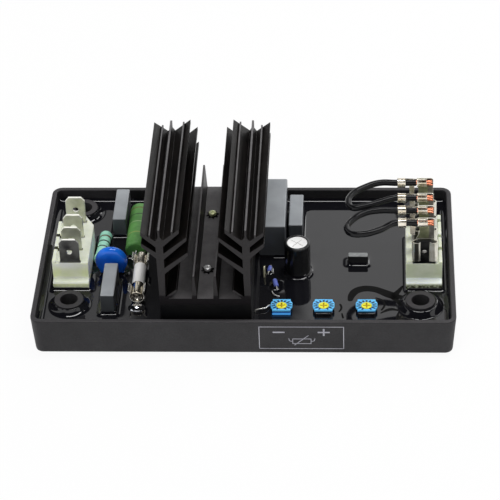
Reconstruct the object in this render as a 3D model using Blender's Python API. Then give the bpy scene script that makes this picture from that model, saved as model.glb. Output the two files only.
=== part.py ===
"""Automatic voltage regulator: a potted tray with a two-tower heat sink, terminal blocks and trimmers.

Metres, +Z up. The origin is the centre of the tray's underside; the heat sink runs along Y.
"""
import math

import bmesh
import bpy
from mathutils import Matrix, Vector

MM = 0.001
GAP = 0.3 * MM  # left between pieces that touch

# Tray
TRAY_X = 200 * MM
TRAY_Y = 108 * MM
TRAY_Z = 20 * MM
TRAY_DRAFT = 1.25 * MM  # how far the foot lies inside the rim
TRAY_WALL = 2.5 * MM
TRAY_INNER_DRAFT = 0.6 * MM
TRAY_FLOOR = 2.5 * MM
TRAY_CORNER = 5 * MM
TRAY_FOOT_ROUND = 1.6 * MM
TRAY_RIM_ROUND = 0.4 * MM
LEFT = -TRAY_X / 2
RIGHT = TRAY_X / 2
FRONT = -TRAY_Y / 2
BACK = TRAY_Y / 2

# Mounting bosses
BOSS_X = RIGHT - 16.5 * MM
BOSS_FRONT_Y = FRONT + 21 * MM
BOSS_BACK_Y = BACK - 13.2 * MM
BOSS_R = 7 * MM
BOSS_HOLE_R = 4.2 * MM
BOSS_TOP = 17 * MM

# Board and potting
BOARD_T = 1.6 * MM
BOARD_TOP = TRAY_FLOOR + GAP + BOARD_T
STAND = BOARD_TOP + GAP  # height at which the components stand
BOARD_MARGIN = 1 * MM
RESIN_TOP = 13.5 * MM

# Heat sink, one extrusion along Y
SINK_X = LEFT + 82.6 * MM
SINK_LENGTH = TRAY_Y - 18 * MM
SINK_BASE_T = 3.5 * MM
SINK_FLOOR = 26.8 * MM
SINK_STEM_X = 20 * MM  # stem centre from the middle
SINK_STEM_FOOT = 1.45 * MM  # half thickness
SINK_BASE_W = 2 * (SINK_STEM_X + SINK_STEM_FOOT)
SINK_STEM_HEAD = 1.75 * MM
SINK_TOP_FIN = 0.5 * MM
SINK_TOP = 39.8 * MM  # above the floor
ARM_ROOT = 2.5 * MM
ARM_TIP = 1.5 * MM
# Each arm: height of its joint, reach of its tip, height of its tip, and where its ribs stand
OUTER_ARMS = ((25.3, 8.4, 31.4, ()), (31.9, 8.4, 37.7, (4.3,)))
INNER_ARMS = ((16.3, 13.0, 26.2, ()), (24.7, 12.8, 35.0, ()), (32.2, 9.5, 39.3, (6.1,)))
FOOT_BRANCH = ((2.8, 0.0), (7.3, 4.7), (6.6, 5.4))
FOOT_CROTCH = 1 * MM
CROWN = (35.5 * MM, 35.9 * MM)  # where the top fin leaves the highest arms
RIB_W = 0.8 * MM
RIB_H = 1.5 * MM
FIN_X = 5 * MM
FIN_H = 13.2 * MM
FIN_FOOT = 1.2 * MM
FIN_HEAD = 0.45 * MM

# Power module under the sink
MODULE_Y = SINK_LENGTH - 2 * MM
SCREW_Y = (-23.2 * MM, 20.8 * MM)
SCREW_R = 1.5 * MM
SCREW_LENGTH = 9 * MM
SCREW_HEAD_R = 2.2 * MM
SCREW_HEAD_H = 1.6 * MM
WASHER_R = 3.1 * MM
WASHER_T = 0.5 * MM
WASHER_TEETH = 8
WASHER_ROOT = 0.78  # share of the radius between the teeth
SCREW_CROSS = (1.3 * MM, 0.3 * MM)  # half length and half width of the driver's cross

# Terminal blocks with 9.5 mm tabs
BLOCK_LEFT_X = LEFT + 16.3 * MM
BLOCK_RIGHT_X = RIGHT - 14.6 * MM
BLOCK_W = 17.2 * MM
BLOCK_LENGTH = 37.8 * MM
BLOCK_TOP = 27.2 * MM
BLOCK_LEDGE = 3 * MM
BLOCK_ROOM = BOSS_BACK_Y - BOSS_FRONT_Y - 2 * BOSS_R - BLOCK_LENGTH - BLOCK_LEDGE
BLOCK_ROOM_SHARE = 4.7 / 19  # of the free room between the bosses, left in front of the block
BLOCK_FRONT_Y = BOSS_FRONT_Y + BOSS_R + BLOCK_LEDGE + BLOCK_ROOM * BLOCK_ROOM_SHARE
BLOCK_BACK_Y = BLOCK_FRONT_Y + BLOCK_LENGTH
BLOCK_LEDGE_Z = 17.8 * MM
POST_W = 1.7 * MM
POST_H = 1 * MM
POST_NOTCH = 1 * MM
POST_NOTCH_DEPTH = 3 * MM
BLOCK_EDGE = 0.7 * MM
BLOCK_CORNER = (9 * MM, 5 * MM)  # what is cut off the inner back corner, along Y and X
TAB_W = 9.5 * MM
TAB_T = 1.2 * MM
TAB_TOP = 40.4 * MM
TAB_CHAMFER = 2.2 * MM
TAB_HOLE_R = 1.4 * MM
TAB_HOLE_DROP = 7.1 * MM
TAB_Y = (BLOCK_FRONT_Y + 1.3 * MM, BLOCK_FRONT_Y + 11.1 * MM, BLOCK_FRONT_Y + 21.1 * MM,
         BLOCK_BACK_Y - 4.3 * MM)
TAB_EXTRA = (0, 0, 0, 1.4 * MM)
TAB_TAIL = 2 * MM
TAB_SHOULDER = 6 * MM

# Flag receptacles on the right block
FLAG_FOOT = BLOCK_TOP + 1 * MM
FLAG_ROLL_TOP = 39.4 * MM
FLAG_SHEET = 0.5 * MM
FLAG_ROLL_R = 1.4 * MM
FLAG_ROLL_X = 4.2 * MM
FLAG_ROLL_LIP = 2.3 * MM
BARREL_Z = 50.6 * MM
BARREL_DY = -0.3 * MM
BARREL_INNER = 1.45 * MM
BARREL_OUTER = 1.95 * MM
BARREL_X = (-3.3 * MM, 1.3 * MM)
GRIP_INNER = 1.85 * MM
GRIP_OUTER = 2.35 * MM
GRIP_X = (-12.6 * MM, -8.8 * MM)
STRAP_H = 2.4 * MM
STRAP_T = 0.41 * MM
NECK_LOW = (-4 * MM, 4.6 * MM)
NECK_WAIST = ((-2.4 * MM, 45 * MM), (-2.9 * MM, 42 * MM), (-4 * MM, 40 * MM))
NECK_TOP = 1.6 * MM  # above and below the barrel's axis

# Jumper leads; the loops are measured from the front of the right block's middle
LEAD_R = 1.55 * MM
STRAND_R = 1.1 * MM
STRAND_OUT = 4.1 * MM
LEAD_STEP = 5 * MM
FRONT_LOOP = ((-21.0, 11.4, 50.2), (-28.1, 9.9, 49.8), (-34.5, 4.5, 49.2), (-36.6, -0.5, 49.0),
              (-34.9, -5.2, 49.2), (-30.2, -7.0, 49.8), (-21.0, -3.9, 50.2))
REAR_LOOP = ((-20.9, 33.8, 50.2), (-28.1, 31.0, 49.6), (-34.3, 25.9, 49.0), (-36.0, 19.7, 48.8),
             (-34.2, 15.2, 49.0), (-29.2, 15.1, 49.6), (-20.9, 18.1, 50.2))

# Film capacitors: centre x, front y, back y, width, top
FILM_CAPS = {
    "film_capacitor_front": (LEFT + 35.7 * MM, FRONT + 14.3 * MM, FRONT + 39.8 * MM, 6.6 * MM, 24.4 * MM),
    "film_capacitor_back": (LEFT + 36.4 * MM, BACK - 33.1 * MM, BACK - 7.6 * MM, 6.6 * MM, 24.4 * MM),
    "film_capacitor_large": (SINK_X + 29.6 * MM, BACK - 49.4 * MM, BACK - 9.4 * MM, 13 * MM, 32 * MM),
    "film_capacitor_small": (SINK_X + 40.7 * MM, BACK - 38 * MM, BACK - 12.2 * MM, 6.9 * MM, 24.4 * MM),
}
FILM_ROUND = 0.4 * MM

# Electrolytic capacitor
CAN_X = SINK_X + 42.2 * MM
CAN_Y = BACK - 60.2 * MM
CAN_TOP = 30.4 * MM
SLEEVE_R = 6.25 * MM
SLEEVE_T = 0.4 * MM
SLEEVE_LIP_R = 4.95 * MM
CAN_SHOULDER = 0.9 * MM

# Varistor disc
VARISTOR_X = LEFT + 35 * MM
VARISTOR_Y = FRONT + 45.6 * MM
VARISTOR_Z = 21.2 * MM
VARISTOR_R = 7.8 * MM
VARISTOR_T = 4.8 * MM
VARISTOR_LEG_X = 5 * MM
VARISTOR_LEG_R = 0.8 * MM
VARISTOR_LEG_TOP = -4.5 * MM  # from the disc's centre
HOLLOW_DEPTH = 2 * MM

# Fuse, 6.3 x 32 mm, and its clips
FUSE_X = LEFT + 48.9 * MM
FUSE_Z = 17.8 * MM
FUSE_Y = (-32.6 * MM, -0.6 * MM)
FUSE_R = 3.15 * MM
FUSE_CAP = 8.6 * MM
FUSE_CAP_T = 0.6 * MM
FUSE_BORE = 2.6 * MM
FUSE_TUBE_R = 3 * MM
CLIP_Y = (-29.2 * MM, -4.8 * MM)
CLIP_L = 6 * MM
CLIP_T = 0.5 * MM
CLIP_LEG = 0.6 * MM
CLIP_FLARE = 2.4 * MM
CLIP_LUG = 6 * MM
CLIP_LUG_X = 2.8 * MM
CLIP_OPEN = (15, 125)  # degrees from straight down and round the fuse

# Trimmers, in a row whose free room is shared out between the sink and the right boss
TRIMMER_W = 9.3 * MM
TRIMMER_BUMP = 0.5 * MM
TRIMMER_Y = FRONT + 17.4 * MM
SINK_RIGHT = SINK_X + SINK_BASE_W / 2
ROW_STEP = TRIMMER_W + 2 * TRIMMER_BUMP
ROW_ROOM = BOSS_X - BOSS_R - SINK_RIGHT - 3 * ROW_STEP
ROW_SHARES = (8.7 / 41.55, 18.3 / 41.55, 28.3 / 41.55)  # of that room, left of each trimmer
TRIMMER_X = tuple(SINK_RIGHT + ROW_ROOM * share + ROW_STEP * (i + 0.5) for i, share in enumerate(ROW_SHARES))
TRIMMER_BUMP_Y = (1.8 * MM, 2.6 * MM)
TRIMMER_TOP = 16.3 * MM
TRIMMER_GROOVE = (14.3 * MM, 15.2 * MM)
TRIMMER_GROOVE_D = 0.5 * MM
ROTOR_R = 2.5 * MM
ROTOR_PROUD = 0.2 * MM
ROTOR_T = 1.4 * MM
ROTOR_STEM_R = 0.9 * MM
ROTOR_STEM = 4 * MM
ROTOR_SLOT = (3.6 * MM, 0.7 * MM, 0.6 * MM)

# Resistors lying on the potting: centre x, y, z, body radius, length, turn in plan (degrees)
CAP_FRONT = FILM_CAPS["film_capacitor_large"][1]
SMALL_ROOM = CAP_FRONT - TRIMMER_Y - TRIMMER_W / 2
SMALL_Y = tuple(CAP_FRONT - SMALL_ROOM * share for share in (22.4 / 36.55, 10.9 / 36.55))
RESISTORS = {
    "film_resistor": (BLOCK_LEFT_X + BLOCK_W / 2 + 4.2 * MM, FRONT + 62.4 * MM, 16.2 * MM,
                      3.1 * MM, 22 * MM, -4),
    "wirewound_resistor": (LEFT + 45.6 * MM, 21.2 * MM, 17.2 * MM, 5.2 * MM, 33.5 * MM, 0),
    "small_resistor_front": (SINK_X + 31.8 * MM, SMALL_Y[0], 14.9 * MM, 1.2 * MM, 5 * MM, 12),
    "small_resistor_back": (SINK_X + 28.6 * MM, SMALL_Y[1], 14.7 * MM, 1 * MM, 3.6 * MM, -10),
}
WIRE_STUB = 1.2 * MM

# Small upright package and two wire links
PACKAGE_X = (CAN_X + SLEEVE_R + BLOCK_RIGHT_X - BLOCK_W / 2) / 2 - 0.025 * MM
PACKAGE_Y = 0.4 * MM
PACKAGE_W = 9.6 * MM
PACKAGE_T = 3.4 * MM
PACKAGE_TOP = 18.4 * MM
LINK_R = 0.35 * MM
# The upright link, measured from the sink's middle
UPRIGHT_LINK = ((26.1, -11.2, 14.1), (26.1, -11.0, 17.2), (26.2, -10.0, 18.7), (26.3, -9.0, 17.2),
                (26.3, -8.7, 14.1))
# The lying link, measured from the sink's right side and the tray's front
LYING_LINK = ((4.55, 15.4, 14.1), (5.35, 15.7, 14.8), (6.75, 16.8, 14.9), (8.15, 19.4, 14.1))
LYING_SPAN = 8.1  # the room in which it lies, in mm


def remove_everything():
    for block in list(bpy.data.objects):
        bpy.data.objects.remove(block, do_unlink=True)


def finish(name, colour, roughness, metallic=0.0):
    """A plain Principled material for one object."""
    material = bpy.data.materials.new(name)
    material.use_nodes = True
    shader = material.node_tree.nodes["Principled BSDF"]
    shader.inputs["Base Color"].default_value = (*colour, 1)
    shader.inputs["Roughness"].default_value = roughness
    shader.inputs["Metallic"].default_value = metallic
    return material


def add_object(name, bm, look, location=(0, 0, 0)):
    """Make an object from a bmesh, with its faces turned out."""
    bmesh.ops.recalc_face_normals(bm, faces=bm.faces)
    mesh = bpy.data.meshes.new(name)
    bm.to_mesh(mesh)
    bm.free()
    thing = bpy.data.objects.new(name, mesh)
    thing.location = location
    bpy.context.scene.collection.objects.link(thing)
    if look:
        mesh.materials.append(finish(name, *look))
    return thing


def loft(rings):
    """A closed body through rings of equal point count, capped at both ends."""
    bm = bmesh.new()
    loops = [[bm.verts.new(point) for point in ring] for ring in rings]
    for low, high in zip(loops, loops[1:]):
        for i in range(len(low)):
            j = (i + 1) % len(low)
            bm.faces.new((low[i], low[j], high[j], high[i]))
    bm.faces.new(reversed(loops[0]))
    bm.faces.new(loops[-1])
    return bm


def prism(outline, z0, z1):
    """An outline in X and Y, extruded from z0 to z1."""
    return loft([[(x, y, z) for x, y in outline] for z in (z0, z1)])


def prism_y(outline, y0, y1):
    """An outline in X and Z, extruded from y0 to y1."""
    return loft([[(x, y, z) for x, z in outline] for y in (y0, y1)])


def prism_x(outline, x0, x1):
    """An outline in Y and Z, extruded from x0 to x1."""
    return loft([[(x, y, z) for y, z in outline] for x in (x0, x1)])


def block(x, y, z):
    """A box between pairs of limits."""
    corners = [(x[0], y[0]), (x[1], y[0]), (x[1], y[1]), (x[0], y[1])]
    return prism(corners, *z)


def boxes(limits):
    """Several separate boxes in one bmesh, for use as a cutter."""
    bm = bmesh.new()
    for x, y, z in limits:
        part = block(x, y, z)
        copy = bpy.data.meshes.new("box")
        part.to_mesh(copy)
        part.free()
        bm.from_mesh(copy)
        bpy.data.meshes.remove(copy)
    return bm


def circle(radius, count, centre=(0, 0), start=0.0):
    turn = 2 * math.pi / count
    return [(centre[0] + radius * math.cos(start + i * turn), centre[1] + radius * math.sin(start + i * turn))
            for i in range(count)]


def revolve(profile, count, axis="Z"):
    """Spin a closed profile of (radius, height) points; a radius of zero is a pole."""
    bm = bmesh.new()
    loops = []
    for radius, height in profile:
        if radius < 1e-7:
            loops.append([bm.verts.new((0, 0, height))])
            continue
        loops.append([bm.verts.new((x, y, height)) for x, y in circle(radius, count)])
    closed = loops[0] if len(loops[0]) > 1 else None
    pairs = list(zip(loops, loops[1:]))
    if closed:
        pairs.append((loops[-1], loops[0]))
    for low, high in pairs:
        for i in range(count):
            j = (i + 1) % count
            corners = [low[i % len(low)], low[j % len(low)], high[j % len(high)], high[i % len(high)]]
            unique = list(dict.fromkeys(corners))
            if len(unique) > 2:
                bm.faces.new(unique)
    if axis == "Y":
        bmesh.ops.rotate(bm, verts=bm.verts, matrix=Matrix.Rotation(math.pi / 2, 3, "X"))
    if axis == "X":
        bmesh.ops.rotate(bm, verts=bm.verts, matrix=Matrix.Rotation(math.pi / 2, 3, "Y"))
    return bm


def tube(inner, outer, x0, x1, y, z, count=18):
    """A hollow cylinder along X."""
    bm = revolve([(inner, x0), (outer, x0), (outer, x1), (inner, x1)], count, "X")
    bmesh.ops.translate(bm, verts=bm.verts, vec=(0, y, z))
    return bm


def rounded_rectangle(half_x, half_y, radius, steps=5):
    points = []
    corners = ((1, 1, 0), (-1, 1, 90), (-1, -1, 180), (1, -1, 270))
    for sx, sy, start in corners:
        for i in range(steps + 1):
            angle = math.radians(start + 90 * i / steps)
            points.append((sx * (half_x - radius) + radius * math.cos(angle),
                           sy * (half_y - radius) + radius * math.sin(angle)))
    return points


def ribbon(path, thickness):
    """The outline of a strip of even thickness along an open path in a plane."""
    left = []
    right = []
    for i, point in enumerate(path):
        before = Vector(path[max(i - 1, 0)])
        after = Vector(path[min(i + 1, len(path) - 1)])
        along = (after - before).normalized()
        across = Vector((-along.y, along.x)) * thickness / 2
        left.append(tuple(Vector(point) + across))
        right.append(tuple(Vector(point) - across))
    return left + right[::-1]


def combine(thing, other_bm, operation):
    """Join or cut with a helper body, keep the result as a plain mesh and drop the helper."""
    helper = add_object("helper", other_bm, None)
    helper.hide_render = True
    helper.display_type = "WIRE"
    boolean = thing.modifiers.new("boolean", "BOOLEAN")
    boolean.operation = operation
    boolean.solver = "EXACT"
    boolean.object = helper
    bpy.context.view_layer.update()
    graph = bpy.context.evaluated_depsgraph_get()
    result = bpy.data.meshes.new_from_object(thing.evaluated_get(graph))
    thing.modifiers.clear()
    old = thing.data
    thing.data = result
    bpy.data.meshes.remove(old)
    shape = helper.data
    bpy.data.objects.remove(helper, do_unlink=True)
    bpy.data.meshes.remove(shape)
    result.name = thing.name


def cut(thing, *cutters):
    for cutter in cutters:
        combine(thing, cutter, "DIFFERENCE")


def join(thing, *pieces):
    for piece in pieces:
        combine(thing, piece, "UNION")


def cylinders(places, radius, z0, z1, count):
    """Several separate upright cylinders in one bmesh."""
    bm = bmesh.new()
    for x, y in places:
        copy = bpy.data.meshes.new("cylinder")
        part = prism(circle(radius, count, (x, y)), z0, z1)
        part.to_mesh(copy)
        part.free()
        bm.from_mesh(copy)
        bpy.data.meshes.remove(copy)
    return bm


def tray_ring(inset, z):
    radius = max(TRAY_CORNER - inset, 0.8 * MM)
    outline = rounded_rectangle(TRAY_X / 2 - inset, TRAY_Y / 2 - inset, radius)
    return [(x, y, z) for x, y in outline]


def inner_inset(z):
    """How far the tray's inner wall lies inside the rim at a height."""
    return TRAY_WALL + TRAY_INNER_DRAFT * (1 - z / TRAY_Z)


def boss_places():
    return [(sx * BOSS_X, y) for sx in (-1, 1) for y in (BOSS_FRONT_Y, BOSS_BACK_Y)]


def make_tray():
    rings = []
    for step in range(4):
        angle = math.radians(90 * step / 3)
        inset = TRAY_DRAFT + TRAY_FOOT_ROUND * (1 - math.sin(angle))
        rings.append(tray_ring(inset, TRAY_FOOT_ROUND * (1 - math.cos(angle))))
    rings.append(tray_ring(0, TRAY_Z - TRAY_RIM_ROUND))
    rings.append(tray_ring(TRAY_RIM_ROUND, TRAY_Z))
    rings.append(tray_ring(TRAY_WALL - TRAY_RIM_ROUND, TRAY_Z))
    rings.append(tray_ring(TRAY_WALL, TRAY_Z - TRAY_RIM_ROUND))
    rings.append(tray_ring(inner_inset(TRAY_FLOOR), TRAY_FLOOR))
    tray = add_object("tray", loft(rings), ((0.03, 0.03, 0.033), 0.6))
    join(tray, cylinders(boss_places(), BOSS_R, TRAY_FLOOR / 2, BOSS_TOP, 32))
    cut(tray, cylinders(boss_places(), BOSS_HOLE_R, -1 * MM, BOSS_TOP + 1 * MM, 28))


def make_board():
    inset = inner_inset(TRAY_FLOOR) + BOARD_MARGIN
    outline = rounded_rectangle(TRAY_X / 2 - inset, TRAY_Y / 2 - inset, 1.5 * MM, 3)
    board = add_object("circuit_board", prism(outline, BOARD_TOP - BOARD_T, BOARD_TOP),
                       ((0.02, 0.12, 0.05), 0.45))
    cut(board, cylinders(boss_places(), BOSS_R + GAP, 0, RESIN_TOP, 32))


def resin_pockets():
    """The room that each standing component takes in the potting."""
    deep = (0, RESIN_TOP + 5 * MM)
    half = SINK_BASE_W / 2 + GAP
    pockets = [((SINK_X - half, SINK_X + half), (-MODULE_Y / 2 - GAP, MODULE_Y / 2 + GAP), deep)]
    for x in (BLOCK_LEFT_X, BLOCK_RIGHT_X):
        pockets.append(((x - BLOCK_W / 2 - GAP, x + BLOCK_W / 2 + GAP),
                        (BLOCK_FRONT_Y - BLOCK_LEDGE - GAP, BLOCK_BACK_Y + GAP), deep))
    for x, front, back, width, _ in FILM_CAPS.values():
        pockets.append(((x - width / 2 - GAP, x + width / 2 + GAP), (front - GAP, back + GAP), deep))
    reach = TRIMMER_W / 2 + GAP
    for x in TRIMMER_X:
        pockets.append(((x - reach - TRIMMER_BUMP, x + reach + TRIMMER_BUMP),
                        (TRIMMER_Y - reach, TRIMMER_Y + reach), deep))
    pockets.append(((PACKAGE_X - PACKAGE_W / 2 - GAP, PACKAGE_X + PACKAGE_W / 2 + GAP),
                    (PACKAGE_Y - PACKAGE_T / 2 - GAP, PACKAGE_Y + PACKAGE_T / 2 + GAP), deep))
    for y in CLIP_Y:
        pockets.append(((FUSE_X - CLIP_LEG - GAP, FUSE_X + CLIP_LEG + GAP),
                        (y - CLIP_L / 2 + MM - GAP, y + CLIP_L / 2 - MM + GAP), deep))
    return pockets


def resin_hollows():
    """Shallow hollows for what lies half sunk in the potting."""
    hollows = []
    for x, y, z, radius, length, turn in RESISTORS.values():
        half_x = radius + GAP + abs(math.sin(math.radians(turn))) * length / 2
        half_y = length / 2 + WIRE_STUB + GAP
        hollows.append(((x - half_x, x + half_x), (y - half_y, y + half_y),
                        (z - radius - GAP, RESIN_TOP + MM)))
    reach = VARISTOR_LEG_X + 2 * VARISTOR_LEG_R
    hollows.append(((VARISTOR_X - reach, VARISTOR_X + reach),
                    (VARISTOR_Y - VARISTOR_T / 2 - GAP, VARISTOR_Y + VARISTOR_T / 2 + GAP),
                    (RESIN_TOP - HOLLOW_DEPTH, RESIN_TOP + MM)))
    return hollows


def make_resin():
    rings = []
    for z in (STAND, RESIN_TOP):
        inset = inner_inset(z) + GAP
        outline = rounded_rectangle(TRAY_X / 2 - inset, TRAY_Y / 2 - inset, TRAY_CORNER - TRAY_WALL)
        rings.append([(x, y, z) for x, y in outline])
    resin = add_object("potting_resin", loft(rings), ((0.012, 0.012, 0.014), 0.08))
    cut(resin, cylinders(boss_places(), BOSS_R + GAP, 0, RESIN_TOP + MM, 32))
    for room in resin_pockets() + resin_hollows():
        cut(resin, block(*room))
    cut(resin, cylinders([(CAN_X, CAN_Y)], SLEEVE_R + GAP, 0, RESIN_TOP + MM, 32))


def arm(side, joint, reach, rise, ribs):
    """One branch of a tower, from under its root round its tip to above its root; values in mm."""
    half = math.sqrt(0.5)
    root_x = SINK_STEM_HEAD
    tip_x = reach * MM
    top_root = joint * MM + half * ARM_ROOT
    top_tip = rise * MM + half * ARM_TIP
    slope = (top_tip - top_root) / (tip_x - root_x)
    points = [(root_x, joint * MM - half * ARM_ROOT), (tip_x, rise * MM - half * ARM_TIP), (tip_x, top_tip)]
    for rib in ribs:
        edge = top_root + slope * (rib * MM - root_x)
        for dx, dz in ((RIB_W / 2, 0), (RIB_W / 2, RIB_H), (-RIB_W / 2, RIB_H), (-RIB_W / 2, 0)):
            points.append((rib * MM + dx, edge + dz + (slope * dx if dz == 0 else 0)))
    points.append((root_x, top_root))
    return [(side * x, z) for x, z in points]


def tower():
    """One tower's outline above the floor, from its outer foot over the top to its inner foot."""
    outer = [(-SINK_STEM_FOOT, 0)]
    for values in OUTER_ARMS:
        outer += arm(-1, *values)
    inner = [(x * MM, z * MM) for x, z in FOOT_BRANCH] + [(SINK_STEM_FOOT, FOOT_CROTCH)]
    for values in INNER_ARMS:
        inner += arm(1, *values)
    crown = [(-SINK_TOP_FIN, CROWN[0]), (-SINK_TOP_FIN, SINK_TOP), (SINK_TOP_FIN, SINK_TOP),
             (SINK_TOP_FIN, CROWN[1])]
    return outer + crown + inner[::-1]


def make_heat_sink():
    left = [(x - SINK_STEM_X, z) for x, z in tower()]
    right = [(SINK_STEM_X - x, z) for x, z in reversed(tower())]
    fins = []
    for x in (-FIN_X, FIN_X):
        fins += [(x - FIN_FOOT, 0), (x - FIN_HEAD, FIN_H), (x + FIN_HEAD, FIN_H), (x + FIN_FOOT, 0)]
    edge = SINK_BASE_W / 2
    base = [(edge, -SINK_BASE_T), (-edge, -SINK_BASE_T)]
    outline = left + fins + right + base
    placed = [(x + SINK_X, z + SINK_FLOOR) for x, z in outline]
    sink = add_object("heat_sink", prism_y(placed, -SINK_LENGTH / 2, SINK_LENGTH / 2),
                      ((0.035, 0.034, 0.036), 0.45, 0.3))
    cut(sink, cylinders([(SINK_X, y) for y in SCREW_Y], SCREW_R + GAP, SINK_FLOOR - 8 * MM,
                        SINK_FLOOR + 2 * MM, 20))


def make_power_module():
    half = SINK_BASE_W / 2
    top = SINK_FLOOR - SINK_BASE_T - GAP
    module = add_object("power_module", block((SINK_X - half, SINK_X + half), (-MODULE_Y / 2, MODULE_Y / 2),
                                              (STAND, top)), ((0.015, 0.015, 0.016), 0.35))
    depth = SCREW_LENGTH
    cut(module, cylinders([(SINK_X, y) for y in SCREW_Y], SCREW_R + GAP, SINK_FLOOR - depth, top + MM, 20))


def make_screw(name, y, colour):
    seat = SINK_FLOOR + WASHER_T + 2 * GAP
    end = seat - SCREW_LENGTH + GAP
    profile = [(0, end), (SCREW_R, end), (SCREW_R, seat), (SCREW_HEAD_R, seat),
               (SCREW_HEAD_R, seat + SCREW_HEAD_H * 0.5), (SCREW_HEAD_R * 0.8, seat + SCREW_HEAD_H * 0.88),
               (SCREW_HEAD_R * 0.45, seat + SCREW_HEAD_H), (0, seat + SCREW_HEAD_H)]
    screw = add_object(name, revolve(profile, 24), (colour, 0.3, 1.0))
    reach, wide = SCREW_CROSS
    for x, y_half in ((reach, wide), (wide, reach)):
        cut(screw, block((-x, x), (-y_half, y_half), (seat + SCREW_HEAD_H * 0.45, seat + 2 * SCREW_HEAD_H)))
    screw.location = (SINK_X, y, 0)


def make_star_washer(name, y):
    outline = []
    for tooth in range(WASHER_TEETH):
        start = 2 * math.pi * tooth / WASHER_TEETH
        for share, radius in ((0, WASHER_ROOT), (0.28, 1.0), (0.5, 1.0), (0.78, WASHER_ROOT)):
            angle = start + share * 2 * math.pi / WASHER_TEETH
            outline.append((WASHER_R * radius * math.cos(angle), WASHER_R * radius * math.sin(angle)))
    seat = SINK_FLOOR + GAP
    washer = add_object(name, prism(outline, seat, seat + WASHER_T), ((0.03, 0.03, 0.03), 0.4, 0.8))
    cut(washer, cylinders([(0, 0)], SCREW_R + GAP, seat - MM, seat + 2 * MM, 20))
    washer.location = (SINK_X, y, 0)


def make_terminal_block(name, centre_x, outer):
    """A nylon block; outer is +1 or -1, the side of its row of posts."""
    half = BLOCK_W / 2
    top = BLOCK_TOP + POST_H
    front = BLOCK_FRONT_Y
    lip = front - BLOCK_LEDGE
    profile = [(lip, STAND), (lip, BLOCK_LEDGE_Z - BLOCK_EDGE),
               (lip + BLOCK_EDGE, BLOCK_LEDGE_Z), (front, BLOCK_LEDGE_Z + BLOCK_EDGE / 2),
               (front, top), (BLOCK_BACK_Y, top), (BLOCK_BACK_Y, STAND)]
    body = add_object(name, prism_x(profile, -half, half), ((0.62, 0.66, 0.5), 0.45))
    post = half - POST_W
    inner_side = sorted((-outer * (half + MM), outer * post))
    cut(body, block(inner_side, (front - MM, BLOCK_BACK_Y + MM), (BLOCK_TOP, top + MM)))
    slot = TAB_T / 2 + GAP
    reach = TAB_W / 2 + GAP
    cut(body, boxes([((-reach, reach), (y - slot, y + slot), (0, top + MM)) for y in TAB_Y]))
    notches = []
    for second in TAB_Y[1:]:
        y = second - POST_NOTCH
        side = sorted((outer * post, outer * (half + MM)))
        notches.append((side, (y, y + POST_NOTCH), (BLOCK_TOP - POST_NOTCH_DEPTH, top + MM)))
    cut(body, boxes(notches))
    along, across = BLOCK_CORNER
    wedge = [(-outer * (half + MM), BLOCK_BACK_Y - along), (-outer * (half - across), BLOCK_BACK_Y + MM),
             (-outer * (half + MM), BLOCK_BACK_Y + MM)]
    cut(body, prism(wedge, 0, top + 2 * MM))
    body.location.x = centre_x


def make_tab(name, x, y, extra, look):
    half = TAB_W / 2
    top = TAB_TOP + extra
    shoulder = STAND + TAB_SHOULDER
    slant = half - TAB_CHAMFER * 0.75
    side = [(TAB_TAIL, STAND), (TAB_TAIL, shoulder), (half, shoulder), (half, top - TAB_CHAMFER),
            (slant, top)]
    outline = side + [(-px, pz) for px, pz in reversed(side)]
    tab = add_object(name, prism_y(outline, -TAB_T / 2, TAB_T / 2), look)
    hole = [(px, pz + top - TAB_HOLE_DROP) for px, pz in circle(TAB_HOLE_R, 20)]
    cut(tab, prism_y(hole, -TAB_T, TAB_T))
    tab.location = (x, y, 0)


def rolled_section():
    """The receptacle's section in plan: a back plate whose two edges roll round the tab."""
    path = [(FLAG_ROLL_LIP, -FLAG_ROLL_R + 0.15 * MM), (FLAG_ROLL_X, -FLAG_ROLL_R)]
    for step in range(1, 7):
        angle = math.radians(-90 + 30 * step)
        path.append((FLAG_ROLL_X + FLAG_ROLL_R * math.cos(angle), FLAG_ROLL_R * math.sin(angle)))
    return path + [(-x, y) for x, y in reversed(path)]


def make_flag(name, y):
    flag = add_object(name, prism(ribbon(rolled_section(), FLAG_SHEET), FLAG_FOOT, FLAG_ROLL_TOP),
                      ((0.55, 0.5, 0.42), 0.3, 1.0))
    plate_y = (FLAG_ROLL_R - FLAG_SHEET / 2, FLAG_ROLL_R + FLAG_SHEET / 2)
    low = FLAG_ROLL_TOP - 0.6 * MM
    top = BARREL_Z + NECK_TOP
    left, right = NECK_LOW
    neck = [(left, low), (right, low), (right, top - MM), (right - MM, top), (BARREL_X[0], top),
            (BARREL_X[0], BARREL_Z - NECK_TOP)] + list(NECK_WAIST)
    strap_y = BARREL_DY + GRIP_INNER
    strap = block((GRIP_X[1] - MM, BARREL_X[0] + MM), (strap_y, strap_y + STRAP_T),
                  (BARREL_Z - STRAP_H / 2, BARREL_Z + STRAP_H / 2))
    barrel = tube(BARREL_INNER, BARREL_OUTER, *BARREL_X, BARREL_DY, BARREL_Z)
    grip = tube(GRIP_INNER, GRIP_OUTER, *GRIP_X, BARREL_DY, BARREL_Z)
    join(flag, prism_y(neck, *plate_y), barrel, strap, grip)
    flag.location = (BLOCK_RIGHT_X, y, 0)


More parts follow.
